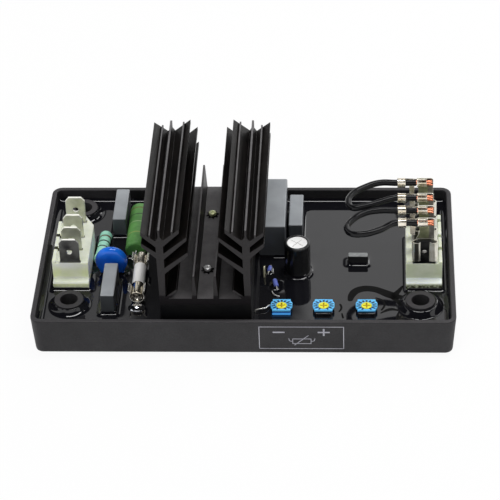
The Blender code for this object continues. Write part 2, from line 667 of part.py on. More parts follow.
def smooth_route(points, step):
    """Even points along a smooth curve through a route's own points."""
    ends = [2 * points[0] - points[1]] + points + [2 * points[-1] - points[-2]]
    fine = []
    for a, b, c, d in zip(ends, ends[1:], ends[2:], ends[3:]):
        for i in range(20):
            t = i / 20
            fine.append(0.5 * (2 * b + (c - a) * t + (2 * a - 5 * b + 4 * c - d) * t ** 2
                               + (3 * b - a - 3 * c + d) * t ** 3))
    fine.append(points[-1])
    lengths = [0.0]
    for a, b in zip(fine, fine[1:]):
        lengths.append(lengths[-1] + (b - a).length)
    count = max(2, round(lengths[-1] / step))
    even = []
    k = 0
    for i in range(count + 1):
        want = lengths[-1] * i / count
        while k < len(fine) - 2 and lengths[k + 1] < want:
            k += 1
        span = lengths[k + 1] - lengths[k]
        even.append(fine[k].lerp(fine[k + 1], (want - lengths[k]) / span))
    return even


def add_wire(name, points, radius, look, thin=None):
    """A capped tube along points; thin gives the share of the radius at each point."""
    curve = bpy.data.curves.new(name, "CURVE")
    curve.dimensions = "3D"
    curve.bevel_depth = radius
    curve.bevel_resolution = 2
    curve.use_fill_caps = True
    spline = curve.splines.new("POLY")
    spline.points.add(len(points) - 1)
    for i, point in enumerate(points):
        spline.points[i].co = (*point, 1)
        spline.points[i].radius = thin[i] if thin else 1
    thing = bpy.data.objects.new(name, curve)
    bpy.context.scene.collection.objects.link(thing)
    curve.materials.append(finish(name, *look))


def make_lead(name, first_tab, second_tab, loop):
    """A jumper between two receptacles: bare strands, insulation through the grip, and the free loop."""
    ends = []
    for tab in (first_tab, second_tab):
        y = TAB_Y[tab] + BARREL_DY
        bare = BARREL_X[0] - GAP
        run = [STRAND_OUT, bare, bare - 0.1 * MM, GRIP_X[0] - MM]
        ends.append([Vector((BLOCK_RIGHT_X + x, y, BARREL_Z)) for x in run])
    corner = Vector((BLOCK_RIGHT_X, BLOCK_FRONT_Y, 0))
    middle = [ends[0][-1]] + [corner + Vector(point) * MM for point in loop] + [ends[1][-1]]
    route = smooth_route(middle, LEAD_STEP)
    points = ends[0][:-1] + route + ends[1][-2::-1]
    thin = [1.0] * len(points)
    for i in (0, 1, -2, -1):
        thin[i] = STRAND_R / LEAD_R
    add_wire(name, points, LEAD_R, ((0.012, 0.012, 0.013), 0.35), thin)


def make_film_cap(name, x, front, back, width, top):
    rings = []
    for inset, z in ((0, STAND), (0, top - FILM_ROUND), (FILM_ROUND, top)):
        outline = rounded_rectangle(width / 2 - inset, (back - front) / 2 - inset, 0.5 * MM, 2)
        rings.append([(px, py, z) for px, py in outline])
    add_object(name, loft(rings), ((0.25, 0.27, 0.29), 0.5), (x, (front + back) / 2, 0))


def make_electrolytic():
    inner = SLEEVE_R - SLEEVE_T
    can_r = inner - GAP
    lip = CAN_TOP + GAP
    can = [(0, STAND + MM), (can_r, STAND + MM), (can_r, CAN_TOP - CAN_SHOULDER),
           (can_r - CAN_SHOULDER * 0.3, CAN_TOP - CAN_SHOULDER * 0.3), (can_r - CAN_SHOULDER, CAN_TOP),
           (0, CAN_TOP)]
    add_object("electrolytic_can", revolve(can, 32), ((0.8, 0.8, 0.8), 0.25, 1.0), (CAN_X, CAN_Y, 0))
    sleeve = [(inner, STAND), (SLEEVE_R, STAND), (SLEEVE_R, lip - CAN_SHOULDER),
              (SLEEVE_R - 0.35 * MM, lip), (SLEEVE_R - 0.95 * MM, lip + SLEEVE_T),
              (SLEEVE_LIP_R, lip + SLEEVE_T), (SLEEVE_LIP_R, lip + 0.05 * MM),
              (inner - CAN_SHOULDER * 0.6, lip + 0.05 * MM),
              (inner, lip - CAN_SHOULDER)]
    add_object("electrolytic_sleeve", revolve(sleeve, 32), ((0.01, 0.01, 0.012), 0.3), (CAN_X, CAN_Y, 0))


def make_resistor(name, x, y, z, radius, length, turn, colour):
    half = length / 2
    wire = min(0.4 * MM, radius * 0.3)
    profile = [(0, -half - WIRE_STUB), (wire, -half - WIRE_STUB), (wire, -half), (radius * 0.6, -half),
               (radius * 0.9, -half + radius * 0.2), (radius, -half + radius * 0.5)]
    profile += [(r, -h) for r, h in reversed(profile)]
    sides = 24 if radius > 2 * MM else 14
    body = add_object(name, revolve(profile, sides, "Y"), (colour, 0.4), (x, y, z))
    body.rotation_euler = (0, 0, math.radians(turn))


def make_varistor():
    half = VARISTOR_T / 2
    profile = [(0, -half), (VARISTOR_R * 0.72, -half), (VARISTOR_R * 0.92, -half * 0.72), (VARISTOR_R, 0),
               (VARISTOR_R * 0.92, half * 0.72), (VARISTOR_R * 0.72, half), (0, half)]
    disc = add_object("varistor", revolve(profile, 32, "Y"), ((0.01, 0.08, 0.6), 0.3))
    low = RESIN_TOP - HOLLOW_DEPTH + GAP - VARISTOR_Z
    legs = [(-VARISTOR_LEG_X, 0), (VARISTOR_LEG_X, 0)]
    join(disc, cylinders(legs, VARISTOR_LEG_R, low, VARISTOR_LEG_TOP, 12))
    disc.location = (VARISTOR_X, VARISTOR_Y, VARISTOR_Z)


def make_fuse():
    near, far = FUSE_Y
    neck = FUSE_BORE - GAP
    inside = FUSE_CAP - FUSE_CAP_T - GAP
    a = near + FUSE_CAP + GAP
    b = far - FUSE_CAP - GAP
    half = (b - a) / 2
    reach = half + inside
    tube_profile = [(0, -reach), (neck, -reach), (neck, -half), (FUSE_TUBE_R, -half), (FUSE_TUBE_R, half),
                    (neck, half), (neck, reach), (0, reach)]
    add_object("fuse_tube", revolve(tube_profile, 24, "Y"), ((0.75, 0.75, 0.72), 0.5),
               (FUSE_X, (a + b) / 2, FUSE_Z))
    for name, start, side in (("fuse_cap_near", near, -1), ("fuse_cap_far", far, 1)):
        outer = [(0, 0), (FUSE_R - 0.5 * MM, 0), (FUSE_R, 0.5 * MM), (FUSE_R, FUSE_CAP),
                 (FUSE_BORE, FUSE_CAP), (FUSE_BORE, FUSE_CAP_T), (0, FUSE_CAP_T)]
        profile = [(r, side * h) for r, h in outer]
        cap = add_object(name, revolve(profile, 28, "Y"), ((0.7, 0.62, 0.48), 0.25, 1.0))
        cap.location = (FUSE_X, start, FUSE_Z)


def make_clip(name, y, lug=0.0):
    """A spring clip: a round seat with flared tips, a leg to the board, and a solder lug of some length."""
    radius = FUSE_R + GAP + CLIP_T / 2
    path = []
    start, end = CLIP_OPEN
    for step in range(8):
        angle = math.radians(start - 90 + (end - start) * step / 7)
        path.append((radius * math.cos(angle), radius * math.sin(angle)))
    tip = path[-1]
    path.append((tip[0] - 0.4 * CLIP_T, tip[1] + CLIP_T))
    path.append((tip[0] + CLIP_FLARE * 0.45, tip[1] + CLIP_FLARE * 0.9))
    right = ribbon([(-x, z) for x, z in reversed(path)] + path, CLIP_T)
    clip = add_object(name, prism_y(right, -CLIP_L / 2, CLIP_L / 2), ((0.72, 0.66, 0.55), 0.25, 1.0))
    drop = STAND - FUSE_Z
    join(clip, block((-CLIP_LEG, CLIP_LEG), (-CLIP_L / 2 + MM, CLIP_L / 2 - MM), (drop, -radius + 0.15 * MM)))
    if lug:
        level = RESIN_TOP + GAP - FUSE_Z
        join(clip, block((-CLIP_LUG_X, CLIP_LUG_X), (-CLIP_L / 2 - lug, 0), (level, level + CLIP_T)))
    clip.location = (FUSE_X, y, FUSE_Z)


def trimmer_outline(inset=0.0):
    """A square with a shallow bump on its left and right sides."""
    half = TRIMMER_W / 2 - inset
    flat, foot = TRIMMER_BUMP_Y
    side = [(half, -half), (half, -foot), (half + TRIMMER_BUMP, -flat),
            (half + TRIMMER_BUMP, flat), (half, foot), (half, half)]
    return side + [(-x, -y) for x, y in side]


def make_trimmer(number, x):
    groove_low, groove_high = TRIMMER_GROOVE
    rings = []
    for inset, z in ((0, STAND), (0, groove_low), (TRIMMER_GROOVE_D, groove_low),
                     (TRIMMER_GROOVE_D, groove_high), (0, groove_high), (0, TRIMMER_TOP)):
        rings.append([(px, py, z) for px, py in trimmer_outline(inset)])
    body = add_object(f"trimmer_body_{number}", loft(rings), ((0.1, 0.4, 0.85), 0.4))
    recess = TRIMMER_TOP + ROTOR_PROUD - ROTOR_T - GAP
    cut(body, cylinders([(0, 0)], ROTOR_R + GAP, recess, TRIMMER_TOP + MM, 24))
    cut(body, cylinders([(0, 0)], ROTOR_STEM_R + GAP, recess - ROTOR_STEM - GAP, recess + MM / 2, 16))
    body.location = (x, TRIMMER_Y, 0)
    top = TRIMMER_TOP + ROTOR_PROUD
    profile = [(0, -ROTOR_T - ROTOR_STEM), (ROTOR_STEM_R, -ROTOR_T - ROTOR_STEM), (ROTOR_STEM_R, -ROTOR_T),
               (ROTOR_R, -ROTOR_T), (ROTOR_R, -0.15 * MM), (ROTOR_R - 0.15 * MM, 0), (0, 0)]
    rotor = add_object(f"trimmer_rotor_{number}", revolve(profile, 24), ((0.85, 0.7, 0.03), 0.4))
    length, width, depth = ROTOR_SLOT
    for x_half, y_half in ((length / 2, width / 2), (width / 2, length / 2)):
        cut(rotor, block((-x_half, x_half), (-y_half, y_half), (-depth, MM)))
    rotor.location = (x, TRIMMER_Y, top)


def make_package():
    rings = []
    for inset, z in ((0, STAND), (0, PACKAGE_TOP - 0.3 * MM), (0.3 * MM, PACKAGE_TOP)):
        outline = rounded_rectangle(PACKAGE_W / 2 - inset, PACKAGE_T / 2 - inset, 0.5 * MM, 2)
        rings.append([(px, py, z) for px, py in outline])
    add_object("transistor_package", loft(rings), ((0.02, 0.02, 0.02), 0.4), (PACKAGE_X, PACKAGE_Y, 0))


def make_links():
    upright = [Vector((SINK_X + x * MM, y * MM, z * MM)) for x, y, z in UPRIGHT_LINK]
    add_wire("upright_link", upright, LINK_R, ((0.7, 0.65, 0.4), 0.3, 0.8))
    room = ROW_ROOM * ROW_SHARES[0] - 0.6 * MM
    lying = [Vector((SINK_RIGHT + room * x / LYING_SPAN, FRONT + y * MM, z * MM)) for x, y, z in LYING_LINK]
    add_wire("lying_link", lying, LINK_R, ((0.75, 0.75, 0.72), 0.3, 1.0))


def build():
    remove_everything()
    make_tray()
    make_board()
    make_resin()
    make_power_module()
    make_heat_sink()
    screws = (("front", SCREW_Y[0], (0.75, 0.75, 0.73)), ("rear", SCREW_Y[1], (0.7, 0.72, 0.45)))
    for where, y, colour in screws:
        make_screw(f"heat_sink_screw_{where}", y, colour)
        make_star_washer(f"star_washer_{where}", y)
    make_terminal_block("terminal_block_left", BLOCK_LEFT_X, -1)
    make_terminal_block("terminal_block_right", BLOCK_RIGHT_X, 1)
    tin = ((0.5, 0.52, 0.46), 0.35, 1.0)
    for number, (y, extra) in enumerate(zip(TAB_Y, TAB_EXTRA), 1):
        make_tab(f"left_tab_{number}", BLOCK_LEFT_X, y, extra, tin)
        make_tab(f"right_tab_{number}", BLOCK_RIGHT_X, y, 0, tin)
        make_flag(f"flag_receptacle_{number}", y)
    make_lead("jumper_lead_front", 1, 0, FRONT_LOOP)
    make_lead("jumper_lead_rear", 3, 2, REAR_LOOP)
    for name, values in FILM_CAPS.items():
        make_film_cap(name, *values)
    make_electrolytic()
    colours = {"film_resistor": (0.2, 0.65, 0.45), "wirewound_resistor": (0.1, 0.32, 0.08)}
    for name, values in RESISTORS.items():
        make_resistor(name, *values, colours.get(name, (0.15, 0.2, 0.75)))
    make_varistor()
    make_fuse()
    make_clip("fuse_clip_near", CLIP_Y[0], CLIP_LUG)
    make_clip("fuse_clip_far", CLIP_Y[1])
    for number, x in enumerate(TRIMMER_X, 1):
        make_trimmer(number, x)
    make_package()
    make_links()


build()
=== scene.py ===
"""Looks of the automatic voltage regulator: finishes, menisci, crimps, leads, print, light and camera.

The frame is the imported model's own: +Z up, origin at the centre of the tray's underside. Shapes are given in
millimetres and scaled when their object is made; the light, the screens and the camera are in metres.
"""
from math import cos, dist, pi, radians, sin, sqrt

import bmesh
import bpy
import numpy as np
from mathutils import Matrix, Vector


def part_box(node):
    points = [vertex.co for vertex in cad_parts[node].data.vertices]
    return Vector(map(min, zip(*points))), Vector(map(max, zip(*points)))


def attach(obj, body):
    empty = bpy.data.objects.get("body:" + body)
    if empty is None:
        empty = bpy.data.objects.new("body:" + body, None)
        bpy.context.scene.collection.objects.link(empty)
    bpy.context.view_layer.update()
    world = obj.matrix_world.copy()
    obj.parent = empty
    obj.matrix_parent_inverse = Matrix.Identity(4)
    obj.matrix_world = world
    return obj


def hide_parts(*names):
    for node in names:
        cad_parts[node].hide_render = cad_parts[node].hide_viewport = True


MM = 0.001
BODY = "regulator"

# Camera, solved from the tray's edges in the photograph; angles in degrees
CAMERA_AT = (0.0595, -0.9159, 0.7179)
CAMERA_YAW = -3.615
CAMERA_PITCH = 37.2
CAMERA_ROLL = -2.12
CAMERA_LENS = 171.3
CAMERA_SENSOR = 36

# Potting
RESIN_TOP = 13.5
RESIN_FOOT = 5
RESIN_STEP = 0.5
MENISCUS_LENGTH = 0.8
MENISCUS_RISE = 1.4
BOSS_FILLET = 3.8
BOSS_CLIMB = 2.6
# Dull smears that the potting left where it ran together: x, y and half width at each point
SMEARS = (
    ((50.3, -28.6, 1.3), (50.9, -25.3, 1.8), (52.7, -21.9, 2.1), (56.6, -19.9, 2.2), (61.4, -20.3, 2.1),
     (65.2, -22.3, 2.1), (68.6, -24.6, 2.5), (71.4, -26, 2.3), (74.6, -26.6, 1.3), (77.4, -26.4, 0.4)),
    ((71, -25.6, 1.6), (73.2, -22.3, 1.2), (75.2, -18.4, 0.5)),
    ((71, -26.8, 1.8), (73, -30.4, 0.9), (74.6, -35, 0.3)),
    ((62.6, -27.4, 0.4), (65, -28.4, 0.5), (66.6, -30.8, 0.5), (66.6, -33.6, 0.5), (65.2, -36.4, 0.5)),
    ((64.8, -38.8, 0.3), (67.6, -36.6, 0.9), (70.2, -35.6, 1), (73.4, -37, 0.3)),
    ((73.2, -38.4, 0.4), (72.4, -41.6, 0.6), (72.4, -43, 0.6)),
    ((45.6, -32.4, 0.5), (46.3, -34.2, 0.5), (46, -36.2, 0.5), (45.2, -37.6, 0.4)),
    ((46.5, -39.4, 0.4), (47, -42.4, 0.5)),
)
TRAY_HEIGHT = 20
TRAY_WALL = 2.5
TRAY_INNER_DRAFT = 0.6
BOSS_PLACES = [(x, y) for x in (-83.5, 83.5) for y in (-33, 40.8)]
BOSS_R = 7
BOSS_HOLE_R = 4.2
# The front wall's lean, in millimetres out per millimetre up, and the height where it ends
FRONT_LEAN = 1.25 / 18
FRONT_RIM = 19.6
SINK_FLOOR = 27.5

# Receptacles, leads, fuse and trimmers, as in the CAD
BARREL_Z = 50.6
BARREL_DY = -0.3
BARREL_X = (-3.3, 1.3)
GRIP_X = (-12.6, -8.8)
CRIMP_SHEET = 0.42
LEAD_R = 1.55
STRAND_OUT = 4.1
BLOCK_RIGHT_X = 85.4
TAB_Y = (-17, -7.2, 2.8, 15.2)
FRONT_LOOP = [(64.4, -6.9, 50.2), (57.3, -8.4, 49.8), (50.9, -13.8, 49.2), (48.8, -18.8, 49),
              (50.5, -23.5, 49.2), (55.2, -25.3, 49.8), (64.4, -22.2, 50.2)]
REAR_LOOP = [(64.5, 15.5, 50.2), (57.3, 12.7, 49.6), (51.1, 7.6, 49), (49.4, 1.4, 48.8),
             (51.2, -3.1, 49), (56.2, -3.2, 49.6), (64.5, -0.2, 50.2)]
FUSE_Z = 17.8
FUSE_Y = (-32.6, -0.6)
TRIMMER_FRONT = -3.75
TRIMMER_TOP = 16.3

# What gloss sees behind the object, in metres and in parts of white
SCREEN_HALF = 1.4
SCREEN_Y = 1.3
SCREEN_TOP = 1.3
SCREEN_LEFT = (-0.6, -0.222)
SCREEN_RIGHT = -0.024
SCREEN_LEFT_LEVEL = 0.65
SCREEN_RIGHT_LEVEL = 1.15
SCREEN_DARK = 0.08
SCREEN_BLUR = 0.012
CEILING_Z = 1.42
CEILING_FRONT = 1.5
OBJECT_AT = (0, 0, 0.02)

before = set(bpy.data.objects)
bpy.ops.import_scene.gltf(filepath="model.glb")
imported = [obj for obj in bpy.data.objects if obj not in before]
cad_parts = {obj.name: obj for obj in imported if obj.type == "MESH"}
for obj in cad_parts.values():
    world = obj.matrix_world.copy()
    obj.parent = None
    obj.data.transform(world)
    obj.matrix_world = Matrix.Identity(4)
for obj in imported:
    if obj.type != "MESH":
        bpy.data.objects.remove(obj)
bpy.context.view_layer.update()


# Small helpers for meshes

def box(name):
    """A CAD node's lowest and highest corners."""
    low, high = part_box(name)
    return low / MM, high / MM


def centre(name):
    low, high = box(name)
    return (low + high) / 2


def resize(bm, *factors):
    bmesh.ops.scale(bm, vec=factors * (3 // len(factors)), verts=bm.verts)
    return bm


def add_object(name, data):
    """Links a new object to the scene; a bmesh becomes its mesh and is freed."""
    if isinstance(data, bmesh.types.BMesh):
        mesh = bpy.data.meshes.new(name)
        data.to_mesh(mesh)
        data.free()
        data = mesh
    thing = bpy.data.objects.new(name, data)
    bpy.context.scene.collection.objects.link(thing)
    return thing


def piece(name, bm, material, stands_for=(), unit=MM):
    """Makes an object of a bmesh, rides it on its body and hides the CAD nodes that it stands for."""
    resize(bm, unit)
    bmesh.ops.recalc_face_normals(bm, faces=bm.faces)
    thing = add_object(name, bm)
    for face in thing.data.polygons:
        face.use_smooth = True
    thing.data.set_sharp_from_angle(angle=radians(35))
    return settle(thing, material, stands_for)


def settle(thing, material, stands_for=(), body=BODY):
    thing.data.materials.clear()
    thing.data.materials.append(material)
    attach(thing, body)
    if stands_for:
        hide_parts(*stands_for)
    return thing


def soften(thing, width, segments=2):
    """Rounded edges, with the flat faces kept flat."""
    bevel = thing.modifiers.new("edges", "BEVEL")
    bevel.width = width * MM
    bevel.segments = segments
    bevel.limit_method = "ANGLE"
    bevel.angle_limit = radians(32)
    bevel.use_clamp_overlap = True
    normals = thing.modifiers.new("normals", "WEIGHTED_NORMAL")
    normals.keep_sharp = True
    for face in thing.data.polygons:
        face.use_smooth = True


def cad_body(node):
    """A CAD node's mesh in metres, welded and with its flat faces whole."""
    bm = bmesh.new()
    bm.from_mesh(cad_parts[node].data)
    bmesh.ops.remove_doubles(bm, verts=bm.verts, dist=2e-6)
    bmesh.ops.dissolve_limit(bm, angle_limit=radians(0.6), verts=bm.verts, edges=bm.edges)
    return bm


def rounded(node, material, width, segments=2, body=BODY):
    """A copy of a CAD node with rounded edges, which then stands for it."""
    thing = add_object(node + "_look", cad_body(node))
    soften(thing, width, segments)
    return settle(thing, material, (node,), body)


def cut_out(thing, tool, unit=MM):
    """Cuts a bmesh out of an object that has no modifiers yet."""
    cutter = add_object("cutter", resize(tool, unit))
    cut = thing.modifiers.new("cut", "BOOLEAN")
    cut.object = cutter
    cut.solver = "EXACT"
    bpy.context.view_layer.update()
    result = bpy.data.meshes.new_from_object(thing.evaluated_get(bpy.context.evaluated_depsgraph_get()))
    thing.modifiers.clear()
    thing.data = result
    bpy.data.objects.remove(cutter)


def loft(rings):
    """A body through rings of equal point count."""
    bm = bmesh.new()
    loops = [[bm.verts.new(point) for point in ring] for ring in rings]
    for low, high in zip(loops, loops[1:]):
        for i in range(len(low)):
            j = (i + 1) % len(low)
            bm.faces.new((low[i], low[j], high[j], high[i]))
    bm.faces.new(reversed(loops[0]))
    bm.faces.new(loops[-1])
    return bm


def move(bm, offset=(0, 0, 0), turn=0, axis="Z"):
    """Turns a bmesh about an axis through the origin, then shifts it."""
    if turn:
        bmesh.ops.rotate(bm, verts=bm.verts, matrix=Matrix.Rotation(radians(turn), 3, axis))
    bmesh.ops.translate(bm, verts=bm.verts, vec=offset)
    return bm


def merge(parts):
    """Several bmeshes as one."""
    whole = bmesh.new()
    for part in parts:
        carrier = bpy.data.meshes.new("carrier")
        part.to_mesh(carrier)
        part.free()
        whole.from_mesh(carrier)
        bpy.data.meshes.remove(carrier)
    return whole


def lathe(profile, count=48, axis="Z"):
    """Spins a profile of (radius, height) points about Z or Y; one off the axis is closed to a ring."""
    bm = bmesh.new()
    loops = []
    for radius, height in profile:
        if radius == 0:
            loops.append([bm.verts.new((0, 0, height))])
            continue
        angles = [2 * pi * i / count for i in range(count)]
        loops.append([bm.verts.new((radius * cos(a), radius * sin(a), height)) for a in angles])
    pairs = list(zip(loops, loops[1:]))
    if len(loops[0]) > 1:
        pairs.append((loops[-1], loops[0]))
    for low, high in pairs:
        for i in range(count):
            j = (i + 1) % count
            ends = [low[i % len(low)], low[j % len(low)], high[j % len(high)], high[i % len(high)]]
            unique = list(dict.fromkeys(ends))
            if len(unique) > 2:
                bm.faces.new(unique)
    return move(bm, turn=90, axis="X") if axis == "Y" else bm


def arc(middle, radius, start, end, steps):
    """Points on an arc in a plane, in degrees."""
    angles = [radians(start + (end - start) * i / steps) for i in range(steps + 1)]
    return [(middle[0] + radius * cos(a), middle[1] + radius * sin(a)) for a in angles]


def mirrored(side):
    """A lathe profile and its mirror image in height."""
    return side + [(r, -h) for r, h in reversed(side)]


def heading(path, i):
    """The direction of a path at one of its points."""
    return (Vector(path[min(i + 1, len(path) - 1)]) - Vector(path[max(i - 1, 0)])).normalized()


def strip(path, thickness):
    """The outline of a strip of even thickness along an open path in a plane."""
    left = []
    right = []
    for i, point in enumerate(path):
        along = heading(path, i)
        across = Vector((-along.y, along.x)) * thickness / 2
        left.append(tuple(Vector(point) + across))
        right.append(tuple(Vector(point) - across))
    return left + right[::-1]


def prism(outline, z0, z1):
    return loft([[(x, y, z) for x, y in outline] for z in (z0, z1)])


def prism_y(outline, y0, y1):
    return loft([[(x, y, z) for x, z in outline] for y in (y0, y1)])


def corners(x, y):
    return [(x[0], y[0]), (x[1], y[0]), (x[1], y[1]), (x[0], y[1])]


def block(x, y, z):
    return prism(corners(x, y), *z)


def wire(name, points, radius, material, stands_for=()):
    """A round wire on one smooth curve through its points."""
    curve = bpy.data.curves.new(name, "CURVE")
    curve.dimensions = "3D"
    curve.bevel_depth = radius * MM
    curve.bevel_resolution = 4
    curve.resolution_u = 8
    curve.use_fill_caps = True
    spline = curve.splines.new("BEZIER")
    spline.bezier_points.add(len(points) - 1)
    for knot, point in zip(spline.bezier_points, points):
        knot.co = [value * MM for value in point]
        knot.handle_left_type = "AUTO"
        knot.handle_right_type = "AUTO"
    return settle(add_object(name, curve), material, stands_for)


# Materials

class Look:
    """A material or world in the making. Its methods add nodes and give back the socket to go on with."""

    def __init__(self, name, kind="materials"):
        self.owner = getattr(bpy.data, kind).new(name)
        self.owner.use_nodes = True
        self.tree = self.owner.node_tree
        self.shader = self.tree.nodes.get("Principled BSDF")
        self.coordinates = self.node("TexCoord").node.outputs

    def put(self, socket, value):
        """Links an input to a socket or sets its value; a colour gets its fourth number."""
        if isinstance(value, bpy.types.NodeSocket):
            self.tree.links.new(value, socket)
        elif isinstance(value, tuple) and socket.type == "RGBA":
            socket.default_value = (*value, 1)
        else:
            socket.default_value = value

    def node(self, kind, inputs=None, output=0, **settings):
        """Adds a node and gives back one of its outputs."""
        made = self.tree.nodes.new("ShaderNode" + kind)
        for key, value in settings.items():
            setattr(made, key, value)
        for key, value in (inputs or {}).items():
            self.put(made.inputs[key], value)
        return made.outputs[output]

    def noise(self, scale, detail=3, roughness=0.55, stretch=None):
        """Noise at the object's own points; scaled by axis, it becomes streaks."""
        where = self.coordinates["Object"]
        if stretch:
            where = self.node("Mapping", {"Vector": where, "Scale": stretch})
        inputs = {"Vector": where, "Scale": scale, "Detail": detail, "Roughness": roughness}
        return self.node("TexNoise", inputs)

    def ramp(self, factor, dark, light, start=0.3, end=0.7):
        made = self.node("ValToRGB", {"Fac": factor})
        for stop, position, colour in zip(made.node.color_ramp.elements, (start, end), (dark, light)):
            stop.position = position
            stop.color = (*colour, 1)
        return made

    def remap(self, value, from_low, from_high, to_low=0, to_high=1):
        inputs = {"Value": value, "From Min": from_low, "From Max": from_high, "To Min": to_low,
                  "To Max": to_high}
        return self.node("MapRange", inputs)

    def uneven(self, scale, low, high, detail=3):
        """A value that wanders between two levels."""
        return self.remap(self.noise(scale, detail), 0.3, 0.7, low, high)

    def axis(self, axis, vector="Object"):
        return self.node("SeparateXYZ", {"Vector": self.coordinates[vector]}, axis)

    def along(self, axis, start, end, to_low=0, to_high=1):
        """0 to 1 between two places on an axis."""
        return self.remap(self.axis(axis), start * MM, end * MM, to_low, to_high)

    def near(self, axis, middle, half):
        """1 within a band across an axis."""
        inputs = {0: self.axis(axis), 1: middle * MM, 2: half * MM}
        return self.node("Math", inputs, operation="COMPARE")

    def facing(self, axis, low=0.6, high=0.8):
        """1 where the surface faces along an axis, such as "Z" or "-Y"."""
        value = self.axis(axis[-1], "Normal")
        if axis[0] == "-":
            value = self.times(value, -1)
        return self.remap(value, low, high)

    def calculate(self, operation, first, second, clamp=False):
        return self.node("Math", {0: first, 1: second}, operation=operation, use_clamp=clamp)

    def times(self, first, second, clamp=False):
        return self.calculate("MULTIPLY", first, second, clamp)

    def blend(self, factor, first, second):
        """Mixes two colours; each may be a socket or an RGB triple."""
        inputs = {0: factor, 6: first, 7: second}
        return self.node("Mix", inputs, 2, data_type="RGBA", clamp_factor=True)

    def seen(self):
        """1 for what the camera, gloss and glass see, 0 for soft light."""
        rays = self.node("LightPath").node.outputs
        seen = self.calculate("MAXIMUM", rays["Is Camera Ray"], rays["Is Glossy Ray"])
        return self.calculate("MAXIMUM", seen, rays["Is Transmission Ray"])

    def dress(self, **sockets):
        """Sets or links the shader's own sockets; underscores stand for spaces."""
        for key, value in sockets.items():
            self.put(self.shader.inputs[key.replace("_", " ")], value)

    def finish(self, *bumps, **sockets):
        """Dresses the shader and bumps it with (height, depth) pairs, one after the other."""
        normal = None
        for height, depth in bumps:
            inputs = {"Strength": 1, "Distance": depth * MM, "Height": height}
            if normal:
                inputs["Normal"] = normal
            normal = self.node("Bump", inputs)
        self.dress(Normal=normal, **sockets)
        return self.owner

    def surface(self, socket):
        """Shows a shader other than the usual one."""
        self.put(self.tree.nodes["Material Output"].inputs["Surface"], socket)
        return self.owner


def rgb(red, green, blue):
    """Screen values from 0 to 255, as linear light."""
    values = (red, green, blue)
    return tuple(((value / 255 + 0.055) / 1.055) ** 2.4 if value > 10 else value / 3295 for value in values)


def grey(level):
    return (level,) * 3


def moulded(name, dark, light, rough=(0.4, 0.55), grain=2500, depth=0.02, **sockets):
    """Moulded plastic: cloudy colour, uneven gloss and a fine grain."""
    look = Look(name)
    colour = look.ramp(look.noise(60, 4), dark, light, 0.35, 0.65)
    return look.finish((look.noise(grain, 2), depth), Base_Color=colour, Roughness=look.uneven(240, *rough),
                       **sockets)


def plated(name, dark, light, rough=(0.2, 0.4), streak=None, scale=900, depth=0.01, metallic=1,
           top_highlight=None):
    """Plated metal with dull patches and fine drawing lines, and a painted highlight on its up-facing faces
    when one is given.
    """
    look = Look(name)
    lines = look.noise(scale, stretch=streak)
    patches = look.noise(160, 4)
    colour = look.ramp(patches, dark, light, 0.3, 0.62)
    # A painted highlight: up-facing faces lighter and less metallic.
    if top_highlight:
        edge = look.facing("Z", 0.5, 0.8)
        colour = look.blend(edge, colour, top_highlight)
        metallic = look.remap(edge, 0, 1, metallic, 0.2)
    return look.finish((lines, depth), Base_Color=colour, Metallic=metallic,
                       Roughness=look.remap(look.times(patches, lines), 0.12, 0.4, *rough))


def tray_material():
    look = Look("charcoal_plastic")
    clouds = look.times(look.noise(35, 5), 0.5)
    cloud = look.calculate("ADD", clouds, look.times(look.noise(1300, 2, 0.8), 0.5))
    base = look.ramp(cloud, rgb(31, 30, 32), rgb(45, 44, 46), 0.36, 0.64)
    # Up-facing faces, the rim and the bosses' tops, are lighter: painted top light.
    rim = look.ramp(cloud, rgb(48, 47, 49), rgb(62, 60, 62), 0.36, 0.64)
    base = look.blend(look.facing("Z", 0.5, 0.85), base, rim)
    scuffs = look.remap(look.noise(260, 5, 0.7, (1, 1, 9)), 0.62, 0.74)
    return look.finish((look.noise(1900, 2), 0.05), (look.noise(5200, 1), 0.02),
                       Base_Color=look.blend(scuffs, base, rgb(60, 60, 62)),
                       Roughness=look.uneven(180, 0.44, 0.6), Specular_IOR_Level=0.3)


def resin_material():
    """Glossy black with a little dust on it."""
    look = Look("black_resin")
    cell = look.node("TexVoronoi", {"Vector": look.coordinates["Object"], "Scale": 150, "Randomness": 1})
    specks = look.remap(cell, 0.03, 0.02)
    dust = look.times(specks, look.remap(look.noise(70, 1), 0.62, 0.64))
    return look.finish((look.noise(45, 2), 0.05), IOR=1.54,
                       Base_Color=look.blend(dust, (0.006, 0.006, 0.008), (0.10, 0.10, 0.11)),
                       Roughness=look.remap(look.noise(90, 4), 0.35, 0.7, 0.02, 0.07))


